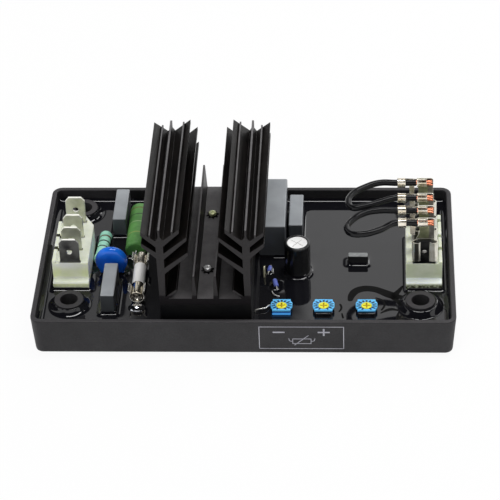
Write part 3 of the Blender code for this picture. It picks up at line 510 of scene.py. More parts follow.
def anodised_material():
    """Black anodised extrusion: lines along Y, lighter up-facing faces, greyer sawn ends, and ends near black
    at their lowest part.
    """
    look = Look("black_anodised")
    lines = look.noise(1500, 4, 0.65, (1, 0.02, 1))
    wear = look.noise(120, 5, 0.7)
    side = look.ramp(look.times(lines, wear), grey(0.002), (0.013, 0.0105, 0.0095), 0.12, 0.42)
    # Up-facing faces are lighter, more so towards the back.
    lighter_up_faces = look.ramp(wear, (0.078, 0.074, 0.076), (0.122, 0.117, 0.12))
    lighter_up_faces_back = look.ramp(wear, (0.1, 0.096, 0.098), (0.15, 0.146, 0.148))
    lighter_up_faces = look.blend(look.along("Y", -10, 40), lighter_up_faces, lighter_up_faces_back)
    side = look.blend(look.facing("Z", 0.9, 0.98), side, lighter_up_faces)
    end = look.ramp(look.noise(2600, stretch=(0.25, 1, 1)), rgb(33, 31, 32), rgb(46, 44, 45))
    # The ends are near black, and rougher, below 28.3 mm.
    low_end_black = look.along("Z", 28.9, 28.3)
    end = look.blend(low_end_black, end, (0.004, 0.003, 0.004))
    ends = look.calculate("MAXIMUM", look.facing("-Y"), look.facing("Y"))
    rough = look.calculate("ADD", look.remap(lines, 0.3, 0.7, 0.34, 0.5), look.times(low_end_black, 0.25))
    return look.finish((lines, 0.03), (look.noise(3200, 2), 0.02), Base_Color=look.blend(ends, side, end),
                       Roughness=rough, Specular_IOR_Level=0.2)


def nylon_material():
    """Pale nylon, lime in the middle of its front, with painted highlights on the left block's front edges and
    right side and along the right block's ledge, and painted shade in the left block's notches; the right
    block is greyer, and darker with dark specks where it stands.
    """
    look = Look("pale_green_nylon")
    stain = look.noise(110, 5)
    front = look.facing("-Y", 0.7, 0.9)
    right_block = look.along("X", -10, 10)
    left_block = look.remap(right_block, 1, 0)
    pale = look.ramp(stain, rgb(208, 214, 192), rgb(232, 235, 222))
    # bright is a painted highlight on the left block's front, along its ledge and towards its top.
    bright = look.ramp(stain, rgb(230, 236, 208), rgb(246, 249, 234))
    lime = look.ramp(stain, rgb(224, 234, 178), rgb(242, 248, 212))
    grey_green = look.ramp(stain, rgb(190, 200, 168), rgb(210, 216, 192))
    middle = look.times(look.along("Z", 18.4, 19.6), look.along("Z", 25.6, 22.4))
    limed = look.calculate("MAXIMUM", middle, look.along("Z", 17.2, 16.4))
    face = look.blend(right_block, look.blend(limed, bright, lime), grey_green)
    base = look.blend(front, pale, face)
    # Painted light on the left block's right side.
    base = look.blend(look.times(look.facing("X", 0.5, 0.8), left_block), base, rgb(255, 255, 244))
    # Painted highlight along the right block's ledge.
    ledge = look.times(look.along("Z", 19, 18.3), look.along("Z", 16.8, 17.4))
    base = look.blend(look.times(ledge, right_block), base, rgb(236, 243, 238))
    spots = look.remap(look.noise(800), 0.42, 0.56)
    # Darker towards the foot, with dark specks, most on the right block.
    low = look.along("Z", 17.6, 15.7)
    dark_foot = look.times(look.times(low, low), look.calculate("ADD", spots, 0.25))
    dark_foot = look.times(dark_foot, look.remap(right_block, 0, 1, 0.12, 1), clamp=True)
    base = look.blend(dark_foot, base, rgb(44, 50, 26))
    # Painted shade in the notches of the left block's outer wall.
    for y in TAB_Y:
        slot = look.times(look.near("Y", y + 0.9, 0.2), look.times(front, left_block))
        base = look.blend(slot, base, rgb(60, 62, 44))
    return look.finish((look.noise(700), 0.04), Base_Color=base, Roughness=0.38, Subsurface_Weight=0.4,
                       Subsurface_Scale=2 * MM, Subsurface_Radius=(1, 1, 0.6))


def film_case_material():
    """A grey capacitor box: the top is pale and dull, the sides are dark and glossier, with painted shade on
    the sides towards the front and painted light on them towards the back.
    """
    look = Look("capacitor_case")
    cloud = look.noise(80, 5)
    # The sides are painted darker towards the front and lighter towards the back: painted shade and painted
    # light.
    front_side_painted_dark = look.ramp(cloud, (0.036, 0.04, 0.044), (0.052, 0.057, 0.062))
    back_side_painted_light = look.ramp(cloud, (0.082, 0.088, 0.098), (0.112, 0.12, 0.13))
    side = look.blend(look.along("Y", -20, 0), front_side_painted_dark, back_side_painted_light)
    top = look.ramp(cloud, rgb(138, 142, 146), rgb(154, 158, 162))
    up = look.facing("Z", 0.35, 0.8)
    return look.finish((look.noise(1500, 2), 0.03), Base_Color=look.blend(up, side, top),
                       Roughness=look.remap(up, 0, 1, 0.3, 0.5))


def banded(name, ground, spots, bands, centre_y, rough=0.3, depth=0.03):
    """A resistor's coat with rings: bands are (distance from its middle, half width, colour)."""
    look = Look(name)
    colour = look.ramp(look.noise(250, 4), ground, spots, 0.35, 0.65)
    for offset, half, ring in bands:
        colour = look.blend(look.near("Y", centre_y + offset, half), colour, ring)
    return look.finish((look.noise(600), depth), Base_Color=colour, Roughness=rough)


def trimmer_material(name, wetted):
    """Light blue plastic with painted shade in the groove under its plate; wetted by the potting up to its
    groove, or else with a painted glow on its foot.
    """
    look = Look(name)
    base = look.ramp(look.noise(160, 4), rgb(84, 182, 248), rgb(112, 206, 255))
    # Painted shade in the groove just under the plate.
    base = look.blend(look.along("Z", 15.35, 15.2), base, rgb(10, 50, 150))
    if wetted:
        base = look.blend(look.along("Z", 15, 14.9), base, (0.004, 0.004, 0.005))
        rough = look.along("Z", 15, 14.9, 0.32, 0.08)
    else:
        # Painted glow on the foot of the unwetted trimmer: a bluer colour and light given off.
        foot = look.along("Z", 14.85, 14.75)
        base = look.blend(foot, base, rgb(70, 170, 255))
        look.dress(Emission_Color=look.blend(foot, (0, 0, 0), (0.03, 0.14, 0.33)),
                   Emission_Strength=1)
        rough = look.uneven(700, 0.28, 0.36)
    return look.finish((look.noise(1100, 2), 0.02), Base_Color=base, Roughness=rough)


def receptacle_material():
    """Tinned brass, bright on its rolled edges; on its flat front, painted shade on the left roll and on the
    right of the neck, painted highlights on the right roll and along the neck just above the rolls, and bronze
    higher on the neck.
    """
    look = Look("receptacle_with_painted_light")
    patches = look.noise(240, 4)
    # bright is the tin's own colour, and on the front also a painted highlight.
    bright = look.ramp(patches, (0.62, 0.6, 0.5), (0.92, 0.9, 0.82))
    bronze = look.ramp(patches, (0.18, 0.2, 0.11), (0.36, 0.37, 0.22))
    silver = look.ramp(patches, (0.72, 0.7, 0.66), (0.94, 0.92, 0.88))
    # Painted shade: dark on the left roll's front, and the darker colour on the right of the neck.
    dark = look.ramp(patches, (0.03, 0.03, 0.025), (0.09, 0.085, 0.07))
    flank = look.ramp(patches, (0.1, 0.092, 0.08), (0.3, 0.28, 0.25))
    neck = look.blend(look.along("X", BLOCK_RIGHT_X + 1.9, BLOCK_RIGHT_X + 2.3), bronze, flank)
    # Painted highlight along the neck just above the rolls.
    neck = look.blend(look.along("Z", 40.7, 40.3), neck, bright)
    front = look.blend(look.along("X", BLOCK_RIGHT_X - 2.3, BLOCK_RIGHT_X - 1.9), dark, silver)
    # Painted highlight on the right roll's front.
    front = look.blend(look.along("X", BLOCK_RIGHT_X + 1.7, BLOCK_RIGHT_X + 2.9), front, bright)
    front = look.blend(look.along("Z", 39.6, 39.2), neck, front)
    return look.finish((look.noise(700), 0.012), Metallic=0.6, Roughness=look.uneven(500, 0.08, 0.22),
                       Base_Color=look.blend(look.facing("-Y", 0.8, 0.97), bright, front))


def rotor_material():
    """Yellow, darker at the bottom of the driver's cross."""
    look = Look("yellow_rotor")
    base = look.ramp(look.noise(420), rgb(226, 220, 30), rgb(246, 240, 70))
    base = look.blend(look.along("Z", 16.35, 16.2), base, rgb(186, 152, 14))
    return look.finish((look.noise(1500, 2), 0.015), Base_Color=base, Roughness=0.36)


def package_material():
    look = Look("black_package")
    base = look.ramp(look.noise(500), (0.004, 0.004, 0.005), (0.009, 0.009, 0.01))
    top = look.ramp(look.noise(900, 4), rgb(118, 122, 123), rgb(156, 158, 158))
    return look.finish((look.noise(1800), 0.04), Base_Color=look.blend(look.facing("Z"), base, top),
                       Roughness=0.42)


DRAWN = (0.15, 1, 1)
# Colours of the painted highlight on the tabs' up-facing faces.
TOP_HIGHLIGHT_TIN = (0.93, 0.93, 0.86)
TOP_HIGHLIGHT_DULL = (0.93, 0.93, 0.88)
TRAY = tray_material()
RESIN = resin_material()
RESIN_DULL = moulded("dull_resin", grey(0.003), grey(0.006), (0.42, 0.56), 1200,
                     Specular_IOR_Level=0.08)
ANODISED = anodised_material()
NYLON = nylon_material()
FILM_CASE = film_case_material()
MODULE = moulded("black_epoxy", (0.003, 0.003, 0.004), grey(0.006), (0.45, 0.6), 1400,
                 Specular_IOR_Level=0.3)
BOARD = moulded("solder_mask", (0.01, 0.09, 0.03), (0.02, 0.14, 0.05), (0.3, 0.4))
SCREW_BRIGHT = plated("zinc_plate", grey(0.68), grey(0.92), (0.12, 0.25), metallic=0.5)
SCREW_YELLOW = plated("passivated_zinc", (0.72, 0.78, 0.36), (0.92, 0.96, 0.62), (0.2, 0.35), metallic=0.25)
WASHER = moulded("blackened_spring_steel", grey(0.001), grey(0.004), (0.2, 0.35), 1500,
                 0.01, Specular_IOR_Level=0.16)
TAB_TIN = plated("tinned_tab", (0.46, 0.47, 0.39), (0.7, 0.71, 0.61), (0.3, 0.5), DRAWN, 1200, 0.02,
                 top_highlight=TOP_HIGHLIGHT_TIN)
TAB_SHADED = plated("shaded_tab", (0.012, 0.012, 0.014), grey(0.06), (0.3, 0.5), DRAWN, 1200, 0.02)
# A darker copy of the tinned tab for the front one: painted dark reflection.
TAB_DARK_REFLECTION = plated("tab_painted_dark_reflection", grey(0.1), (0.24, 0.24, 0.23), (0.35, 0.55), DRAWN, 1200, 0.02,
                  top_highlight=TOP_HIGHLIGHT_DULL)
CRIMP = plated("tinned_brass", (0.58, 0.5, 0.37), (0.9, 0.85, 0.74), (0.16, 0.34), (0.4, 1, 1), 1100)
FLAG = receptacle_material()
COPPER = plated("copper_strands", (0.3, 0.07, 0.04), (0.66, 0.25, 0.14), (0.22, 0.4), (0.2, 1, 1), 1500)
INSULATION = moulded("black_insulation", (0.003, 0.003, 0.004), (0.006, 0.006, 0.007), (0.13, 0.2), 900,
                     Specular_IOR_Level=0.26)
CAN = plated("bright_can", (0.9, 0.9, 0.89), (0.97, 0.96, 0.95), (0.32, 0.45), depth=0.006, metallic=0)
SLEEVE = moulded("shrunk_sleeve", (0.006, 0.006, 0.007), (0.012, 0.012, 0.013), (0.16, 0.26), 500, 0.03)
VARISTOR_COAT = moulded("blue_dip", (0.005, 0.1, 0.62), (0.012, 0.2, 0.86), (0.12, 0.2), 420, 0.05)
SMALL_BLUE = moulded("blue_lacquer", (0.09, 0.12, 0.55), (0.2, 0.26, 0.74), (0.2, 0.3), 900, 0.03)
CERAMIC = moulded("ceramic", rgb(238, 237, 234), rgb(252, 251, 248), (0.35, 0.5), 1500, 0.03)
FUSE_METAL = plated("nickel_on_brass", (0.6, 0.53, 0.4), (0.84, 0.79, 0.68), (0.14, 0.3), (1, 0.2, 1))
SOLDER = plated("solder", (0.62, 0.64, 0.7), (0.86, 0.87, 0.92), (0.08, 0.18), scale=260, depth=0.12)
CLIP_TIN = plated("tinned_spring", (0.84, 0.8, 0.72), (0.98, 0.96, 0.9), (0.14, 0.3), (1, 0.3, 1),
                  metallic=0.75)
LINK = plated("tinned_wire", (0.7, 0.69, 0.64), (0.94, 0.93, 0.9), (0.12, 0.25), metallic=0.5)
LINK_BEIGE = plated("yellowed_wire", (0.7, 0.66, 0.4), (0.92, 0.88, 0.62), (0.2, 0.35), metallic=0.3)
INK = moulded("pale_ink", rgb(150, 150, 160), rgb(180, 180, 188), (0.45, 0.6), 1800, 0.01)
MARK_INK = moulded("dark_blue_ink", rgb(2, 14, 52), rgb(6, 26, 76), (0.4, 0.55), 1800, 0.01)
ROTOR = rotor_material()
PACKAGE = package_material()
MINT = banded("mint_lacquer", rgb(150, 220, 196), rgb(174, 236, 212),
              ((6.6, 0.46, rgb(110, 84, 62)), (2.6, 0.46, rgb(12, 24, 16)),
               (-1.6, 0.46, rgb(12, 24, 16))), 8.4, 0.24)
CEMENT = banded("green_cement", rgb(76, 132, 62), rgb(98, 158, 80),
                ((12.6, 0.35, rgb(110, 84, 30)), (7.2, 0.3, rgb(34, 56, 30)),
                 (1.2, 0.3, rgb(150, 184, 130)), (-7.5, 0.4, rgb(140, 160, 84))), 21.2, 0.5, 0.12)


# The potting: a level surface that climbs everything that stands in it

def wetted_rectangles():
    """Footprints, in the potting's plane, of what stands in it; a few are kept shy of the real ones."""
    found = []
    shy = {"terminal_block_right": (1.3, 0), "transistor_package": (0.9, 0.6)}
    names = ["terminal_block_left", "terminal_block_right", "transistor_package"]
    names += [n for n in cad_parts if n.startswith("film_capacitor")]
    for name in names:
        low, high = box(name)
        left, right = shy.get(name, (0, 0))
        found.append((low.x + left, high.x - right, low.y, high.y))
    for name, share in (("film_resistor", 0.45), ("wirewound_resistor", 0.7), ("small_resistor_front", 0.6),
                        ("small_resistor_back", 0.6)):
        low, high = box(name)
        middle = (low.x + high.x) / 2
        half = (high.x - low.x) / 2 * share
        found.append((middle - half, middle + half, low.y + 1, high.y - 1))
    for name in ("fuse_clip_near", "fuse_clip_far"):
        x = centre(name).x
        back = box(name)[1].y
        found.append((x - 0.9, x + 0.9, back - 5.4, back - 0.6))
    return found


def wetted_circles():
    low, high = box("electrolytic_sleeve")
    at = centre("electrolytic_sleeve")
    legs = centre("varistor")
    return [(at.x, at.y, (high.x - low.x) / 2)] + [(legs.x + side * 5, legs.y, 1.4) for side in (-1, 1)]


def rise(distance, height=MENISCUS_RISE):
    return height * np.exp(-np.maximum(distance, 0) / MENISCUS_LENGTH)


def resin_heights(x, y):
    """How far the potting has climbed at each point."""
    half_x, half_y = resin_reach()
    total = rise(half_x - np.abs(x)) ** 2 + rise(half_y - np.abs(y)) ** 2
    for x0, x1, y0, y1 in wetted_rectangles():
        across = np.maximum(np.maximum(x0 - x, x - x1), 0)
        along = np.maximum(np.maximum(y0 - y, y - y1), 0)
        total += rise(np.hypot(across, along)) ** 2
    for cx, cy, radius in wetted_circles():
        total += rise(np.hypot(x - cx, y - cy) - radius, MENISCUS_RISE * min(1, radius / 2)) ** 2
    total = np.minimum(total, (1.25 * MENISCUS_RISE) ** 2)
    for cx, cy in BOSS_PLACES:
        short = np.clip(BOSS_FILLET + BOSS_R - np.hypot(x - cx, y - cy), 0, BOSS_FILLET)
        climb = BOSS_FILLET - np.sqrt(np.maximum(BOSS_FILLET ** 2 - short ** 2, 0))
        if cx > 0:
            climb = short * BOSS_CLIMB / (0.7 * BOSS_FILLET)
        total += np.minimum(climb, BOSS_CLIMB) ** 2
    return np.sqrt(total)


def resin_reach():
    """The potting's half length and half width at its top."""
    inset = TRAY_WALL + TRAY_INNER_DRAFT * (1 - RESIN_TOP / TRAY_HEIGHT)
    high = box("tray")[1]
    return high.x - inset, high.y - inset


def add_resin():
    """The potting's surface as a height field, open at the bosses' holes and closed below."""
    counts = [round(2 * half / RESIN_STEP) for half in resin_reach()]
    xs, ys = [np.linspace(-half - 0.1, half + 0.1, count + 1) for half, count in zip(resin_reach(), counts)]
    x, y = np.meshgrid(xs, ys, indexing="ij")
    z = RESIN_TOP + resin_heights(x, y)
    bm = bmesh.new()
    grid = [[bm.verts.new(point) for point in zip(*row)] for row in zip(x, y, z)]
    for i in range(counts[0]):
        for j in range(counts[1]):
            middle = ((xs[i] + xs[i + 1]) / 2, (ys[j] + ys[j + 1]) / 2)
            if min(dist(middle, boss) for boss in BOSS_PLACES) >= (BOSS_R + BOSS_HOLE_R) / 2:
                bm.faces.new((grid[i][j], grid[i + 1][j], grid[i + 1][j + 1], grid[i][j + 1]))
    loose = [vertex for vertex in bm.verts if not vertex.link_faces]
    bmesh.ops.delete(bm, geom=loose, context="VERTS")
    rim = [edge for edge in bm.edges if edge.is_boundary]
    skirt = bmesh.ops.extrude_edge_only(bm, edges=rim)["geom"]
    for item in skirt:
        if isinstance(item, bmesh.types.BMVert):
            item.co.z = RESIN_FOOT
    foot = [item for item in skirt if isinstance(item, bmesh.types.BMEdge)]
    bmesh.ops.triangle_fill(bm, edges=foot, use_beauty=False)
    piece("resin", bm, RESIN, ("potting_resin",))


def add_smears():
    """Dull streaks that lie on the potting and follow its climb, each with rounded ends."""
    for number, path in enumerate(SMEARS, 1):
        curve = [Vector(point) for point in path]
        for _ in range(3):
            finer = [curve[0]]
            for a, b in zip(curve, curve[1:]):
                finer += [a.lerp(b, 0.25), a.lerp(b, 0.75)]
            curve = finer + [curve[-1]]
        ends = [(curve[i], (curve[i] - curve[j]).normalized()) for i, j in ((0, 2), (-1, -3))]
        for share in (0.5, 0.8, 0.98):
            start, stop = [Vector((end.x + out.x * end.z * share, end.y + out.y * end.z * share,
                                   end.z * sqrt(1 - share * share))) for end, out in ends]
            curve = [start] + curve + [stop]
        rings = []
        for i, point in enumerate(curve):
            along = heading(curve, i)
            across = Vector((-along.y, along.x, 0)).normalized() * point.z
            flat = [(point.x + across.x * side, point.y + across.y * side) for side in (-1, -0.5, 0, 0.5, 1)]
            xs, ys = np.array(flat).T
            zs = RESIN_TOP + resin_heights(xs, ys)
            top = [(x, y, z + 0.05) for x, y, z in zip(xs, ys, zs)]
            rings.append(top + [(x, y, z - 0.2) for x, y, z in reversed(top)])
        piece(f"resin_smear_{number}", loft(rings), RESIN_DULL)


def add_beads():
    """The thick lip of potting on the front of the two trimmers that it wetted."""
    section = [(0.3, 13), (0.3, 15.1), (0, 15.1), (-0.45, 15.06), (-0.75, 14.96), (-0.95, 14.76),
               (-1.05, 14.4), (-1.15, 13.9), (-1.25, 13.2)]
    half = 4.2
    steps = 24
    for number in (2, 3):
        at = centre(f"trimmer_body_{number}")
        rings = []
        for step in range(steps + 1):
            x = at.x - half + 2 * half * step / steps
            wave = 0.14 * sin(step * 1.9 + number * 2) + 0.08 * sin(step * 4.1)
            full = min(1, 0.3 + 0.35 * min(step, steps - step)) + wave
            y = at.y + TRIMMER_FRONT
            rings.append([(x, y + out * full, z + wave * 0.4 * (out < 0)) for out, z in section])
        piece(f"resin_bead_{number}", loft(rings), RESIN)


# Receptacles and leads

def rolled(stations, start, end, steps):
    """A sheet rolled about the barrel's axis: stations are (x, radius), degrees go from +Y to +Z."""
    rings = []
    for x, radius in stations:
        outline = strip(arc((0, 0), radius, start, end, steps), CRIMP_SHEET)
        rings.append([(x, BARREL_DY + py, BARREL_Z + pz) for py, pz in outline])
    return loft(rings)


def receptacle(y):
    """A rolled back plate with its neck; and a bell-mouthed barrel with channel, grip and ear."""
    foot, roll_top, roll, sheet, shift = 28.45, 39.4, 1.4, 0.5, 0.5
    angles = [radians(angle) for angle in range(78, -166, -12)]
    half = [(0, roll), (3, roll)] + [(3.75 + 1.85 * cos(a), roll * sin(a)) for a in angles]
    path = [(-px, py) for px, py in reversed(half)] + [(px + shift, py) for px, py in half[1:]]
    body = prism(strip(path, sheet), foot, roll_top)
    mouth, end = BARREL_X
    top = BARREL_Z + 1.6
    neck = [(-4, 38.8), (4.6, 38.8)] + arc((3.5, top - 1.1), 1.1, 0, 90, 4)
    neck += [(mouth, top), (mouth, BARREL_Z - 1.6), (-2.5, 46.2), (-2.4, 44.4), (-2.8, 42.4), (-4, 40.4)]
    neck = prism_y(neck, roll - sheet / 2, roll + sheet / 2)
    tongue = lathe([(0, -0.3), (0.9, -0.3), (1.2, 0), (0.9, 0.3), (0, 0.3)], 20, "Y")
    barrel = rolled([(mouth, 1.95), (mouth + 0.35, 1.72), (mouth + 1.2, 1.66), (0.6, 1.66), (1, 1.74),
                     (end, 1.9)], 120, 464, 30)
    back, front = GRIP_X
    grip = rolled([(back, 2.22), (back + 0.4, 2.1), (front - 0.4, 2.06), (front, 2.16)], 106, 450, 30)
    channel = rolled([(front - 1, 2.06), (-7.4, 2), (-5, 1.9), (mouth + 1, 1.7)], -62, 42, 10)
    ear = prism_y([(-6.8, 43.4), (-4.6, 43), (-4.4, 48), (-6.9, 48.4)], BARREL_DY + 0.6, BARREL_DY + 1.1)
    flag = merge([body, neck, move(tongue, (0, 0.4, 33.3))])
    return [move(part, (BLOCK_RIGHT_X, y, 0)) for part in (flag, merge([barrel, grip, channel, ear]))]


def strand(points, radius=0.36, sides=10):
    """A plain tube through points."""
    rings = []
    for i, point in enumerate(points):
        along = heading(points, i)
        side = along.cross(Vector((0, 0.2, 1))).normalized()
        up = side.cross(along)
        angles = [2 * pi * k / sides for k in range(sides)]
        rings.append([Vector(point) + radius * (cos(a) * side + sin(a) * up) for a in angles])
    return loft(rings)


def strands(y):
    """Seven twisted copper strands through a barrel, splayed a little where they end."""
    start = BLOCK_RIGHT_X + BARREL_X[0] - 0.4
    end = BLOCK_RIGHT_X + STRAND_OUT
    bundle = []
    for k in range(7):
        points = []
        for share in np.linspace(0, 1, 9):
            spread = 0 if k == 6 else 0.72 + 0.35 * share ** 3
            angle = radians(60 * k + 70 * share)
            points.append((start + (end - start) * share - (k % 3) * 0.25 * share,
                           y + spread * cos(angle), BARREL_Z + spread * sin(angle)))
        bundle.append(strand(points))
    return merge(bundle)


def add_lead(name, tabs, loop):
    """The insulated jumper from one barrel to the next, by its own points, and the strands at both ends."""
    levels = [TAB_Y[tab] + BARREL_DY for tab in tabs]
    run = [BARREL_X[0] - 0.3, -6, GRIP_X[1], GRIP_X[0] - 1]
    first, last = [[(BLOCK_RIGHT_X + x, y, BARREL_Z) for x in run] for y in levels]
    lead = wire(name, first + loop + last[::-1], LEAD_R, INSULATION, ("jumper_" + name,))
    copper = piece(name + "_strands", merge([strands(y) for y in levels]), COPPER)
    curve_length(lead)


def curve_length(thing):
    """The length in metres of a curve object's own line, taken from a thin mesh of it."""
    bare = thing.data.copy()
    bare.bevel_depth = 0
    carrier = bpy.data.objects.new("carrier", bare)
    mesh = carrier.to_mesh()
    points = [vertex.co.copy() for vertex in mesh.vertices]
    carrier.to_mesh_clear()
    bpy.data.objects.remove(carrier)
    return sum((b - a).length for a, b in zip(points, points[1:]))


def add_receptacles():
    for number, y in enumerate(TAB_Y, 1):
        name = f"receptacle_{number}"
        flag, crimp = receptacle(y)
        soften(piece(name, flag, FLAG, ("flag_" + name,)), 0.08, 1)
        soften(piece(name + "_crimp", crimp, CRIMP), 0.08, 1)


# Components

def film_resistor_profile(radius, half):
    """A body whose ends are a little fuller than its middle."""
    return mirrored([(0, -half - 0.3), (radius * 0.5, -half - 0.25), (radius * 0.86, -half + 0.3),
                     (radius, -half + 1.3), (radius, -half + 2.6), (radius * 0.9, -half + 4)])


def rod_profile(radius, half, round_off):
    return mirrored([(0, -half)] + arc((radius - round_off, -half + round_off), round_off, -90, 0, 6))


def add_legs(name, at, half, turn, radius):
    """The two wires of a lying resistor: straight out, then down into the potting."""
    drop = RESIN_TOP - 0.8 - at.z
    for number, side in enumerate((-1, 1), 1):
        points = [(0, side * (half + out), down) for out, down in (
            (-0.5, 0), (0.5, 0), (1.1, -0.25), (1.3, drop * 0.5), (1.35, drop))]
        turned = [at + Matrix.Rotation(radians(turn), 3, "Z") @ Vector(point) for point in points]
        wire(f"{name}_wire_{number}", turned, radius, LINK)


def add_resistors():
    small_front = film_resistor_profile(1.2, 2.2)[:3] + rod_profile(1.2, 2.5, 0.5)[1:]
    for name, half, turn, material, slot, profile, leg in (
            ("film_resistor", 11, -4, MINT, "resistor_mint", film_resistor_profile(3.1, 10.8), 0.4),
            ("wirewound_resistor", 16.7, 0, CEMENT, "resistor_green", rod_profile(5.2, 16.7, 1.4), 0.4),
            ("small_resistor_front", 2.5, 12, SMALL_BLUE, "resistor_blue", small_front, 0.3),
            ("small_resistor_back", 1.8, -10, SMALL_BLUE, "resistor_blue", rod_profile(1, 1.8, 0.45), 0.3)):
        at = centre(name)
        piece(name + "_body", move(lathe(profile, 56, "Y"), at, turn), material, (name,))
        add_legs(name, at, half, turn, leg)


def add_varistor():
    """A dipped disc and its two coated legs."""
    at = centre("varistor")
    radius, half, disc_z = 7.8, 2.4, 21.2
    side = [(0, -half * 0.96), (radius * 0.4, -half)] + arc((radius - half, 0), half, -80, 0, 8)
    profile = side + [(r, -h) for r, h in reversed(side[:-1])]
    parts = [move(lathe(profile, 72, "Y"), (at.x, at.y, disc_z))]
    low = RESIN_TOP - 1.5
    leg = [(0, low), (0.75, low), (0.8, 14.4), (1.1, 15.6), (1.5, 17), (0, 18)]
    parts += [move(lathe(leg, 24), (at.x + away, at.y, 0)) for away in (-5, 5)]
    piece("varistor_coat", merge(parts), VARISTOR_COAT, ("varistor",))


def add_electrolytic():
    """The can, the vent's cross cut into its top, and the sleeve shrunk over its edge."""
    at = centre("electrolytic_can")
    at.z = 0
    top, can_r, edge = 30.4, 5.5, 0.9
    profile = [(0, 6), (can_r, 6)] + arc((can_r - edge, top - edge), edge, 0, 90, 6)
    profile += [(4.2, top), (3.9, top - 0.12), (0, top - 0.18)]
    can = piece("capacitor_can", move(lathe(profile, 72), at), CAN, ("electrolytic_can",))
    for turn in (52, 142):
        cut_out(can, move(block((-3.6, 3.6), (-0.24, 0.24), (top - 0.8, top + 1)), at, turn))
    outer = 6.25
    lip = top + 0.3
    sleeve = [(5.6, 5), (outer, 5), (outer, 14.5), (outer, lip - 1.1)]
    sleeve += arc((outer - 0.75, lip - 0.75), 0.75, 0, 80, 6)
    sleeve += [(5.1, lip + 0.12), (4.9, lip - 0.02), (5.1, lip - 0.16), (5.58, lip - 0.5), (5.6, lip - 1.2)]
    piece("capacitor_sleeve", move(lathe(sleeve, 72), at), SLEEVE, ("electrolytic_sleeve",))


def add_block(side):
    """A terminal block's housing, with a notch in its outer wall at each tab but the first."""
    name = f"terminal_block_{side}"
    low, high = box(name)
    thing = piece(name + "_housing", cad_body(name), NYLON, (name,), unit=1)
    span = (BLOCK_RIGHT_X + 6.2, high.x + 1)
    if side == "left":
        span = (low.x - 1, box("left_tab_2")[0].x - 0.2)
    for y in TAB_Y[1:]:
        back = high.y + 1 if side == "left" and y == TAB_Y[-1] else y + 0.9
        cut_out(thing, block(span, (y - 1.3, back), (high.z - 5.5, high.z + 1)))
    soften(thing, 0.3)


def add_screws():
    """Pan heads with a cross, each on a star washer with twisted teeth."""
    head = [(0, -8), (1.5, -8), (1.5, 0), (1.85, 0), (1.85, 0.6)] + arc((1.35, 0.9), 0.5, 0, 70, 4)
    head += [(0.8, 1.5), (0, 1.55)]
    for where, finish, slot in (("front", SCREW_BRIGHT, "screw_steel"),
                                ("rear", SCREW_YELLOW, "screw_passivated")):
        name = f"heat_sink_screw_{where}"
        at = centre(name)
        at.z = SINK_FLOOR
        thing = piece(name + "_look", move(lathe(head, 40), at), finish, (name,))
        for turn in (20, 110):
            cut_out(thing, move(block((-1.05, 1.05), (-0.2, 0.2), (0.8, 3)), at, turn))
        parts = [lathe([(1.6, -0.6), (2.1, -0.6), (2.1, -0.1), (1.6, -0.1)], 40)]
        for tooth in range(8):
            blade = block((-0.42, 0.42), (1.9, 3.05), (-0.14, 0.14))
            parts.append(move(move(blade, (0, 0, -0.25), 38, "Y"), turn=45 * tooth + 12))
        washer = f"star_washer_{where}"
        piece(washer + "_look", move(merge(parts), at), WASHER, (washer,))


def add_fuse():
    """The ceramic tube, and a domed cap with a rolled groove at each end."""
    near, far = FUSE_Y
    at = (centre("fuse_tube").x, 0, FUSE_Z)
    tube = lathe([(0, near + 6), (3, near + 6), (3, far - 6), (0, far - 6)], 56)
    piece("fuse_body", move(tube, at, -90, "X"), CERAMIC, ("fuse_tube",))
    shell = [(0, -0.5), (0.8, -0.44), (1.5, -0.28), (2.2, 0)] + arc((2.55, 0.6), 0.6, -90, 0, 5)
    shell += [(3.15, 7.9), (3.08, 8.1), (3.15, 8.3), (3.12, 8.6), (0, 8.6)]
    for name, start, side in (("near", near, 1), ("far", far, -1)):
        cap = move(lathe([(r, start + side * h) for r, h in shell], 56), at, -90, "X")
        piece(f"fuse_cap_{name}_shell", cap, FUSE_METAL, (f"fuse_cap_{name}",))


def add_clip(name, y, lug):
    """A spring clip on a leg: a round seat, a waist and two flared ears; and solder before its lug."""
    x = centre(name).x
    half_length, radius = 3, 3.4
    half = arc((0, 0), radius, -88, 29, 13)
    tip = half[-1]
    half += [(tip[0] + px, tip[1] + pz) for px, pz in ((-0.15, 0.4), (0.1, 0.9), (0.6, 1.6), (1.1, 2.1))]
    section = [(-px, pz) for px, pz in reversed(half)] + half
    seat = prism_y(strip(section, 0.5), -half_length, half_length)
    leg = block((-0.6, 0.6), (1 - half_length, half_length - 1), (RESIN_FOOT - FUSE_Z, 0.1 - radius))
    spring = move(merge([seat, leg]), (x, y, FUSE_Z))
    soften(piece(name + "_spring", spring, CLIP_TIN, (name,)), 0.1)
    if lug:
        low = RESIN_TOP - 0.6
        dome = lathe([(0, low), (3.1, low), (3.2, low + 0.9), (2.7, low + 1.5), (1.8, low + 2),
                      (0.9, low + 2.3), (0, low + 2.4)], 40)
        solder = move(resize(dome, 1.3, 0.95, 1), (x, y - half_length - lug + 2.9, 0))
        piece(name + "_solder", solder, SOLDER)


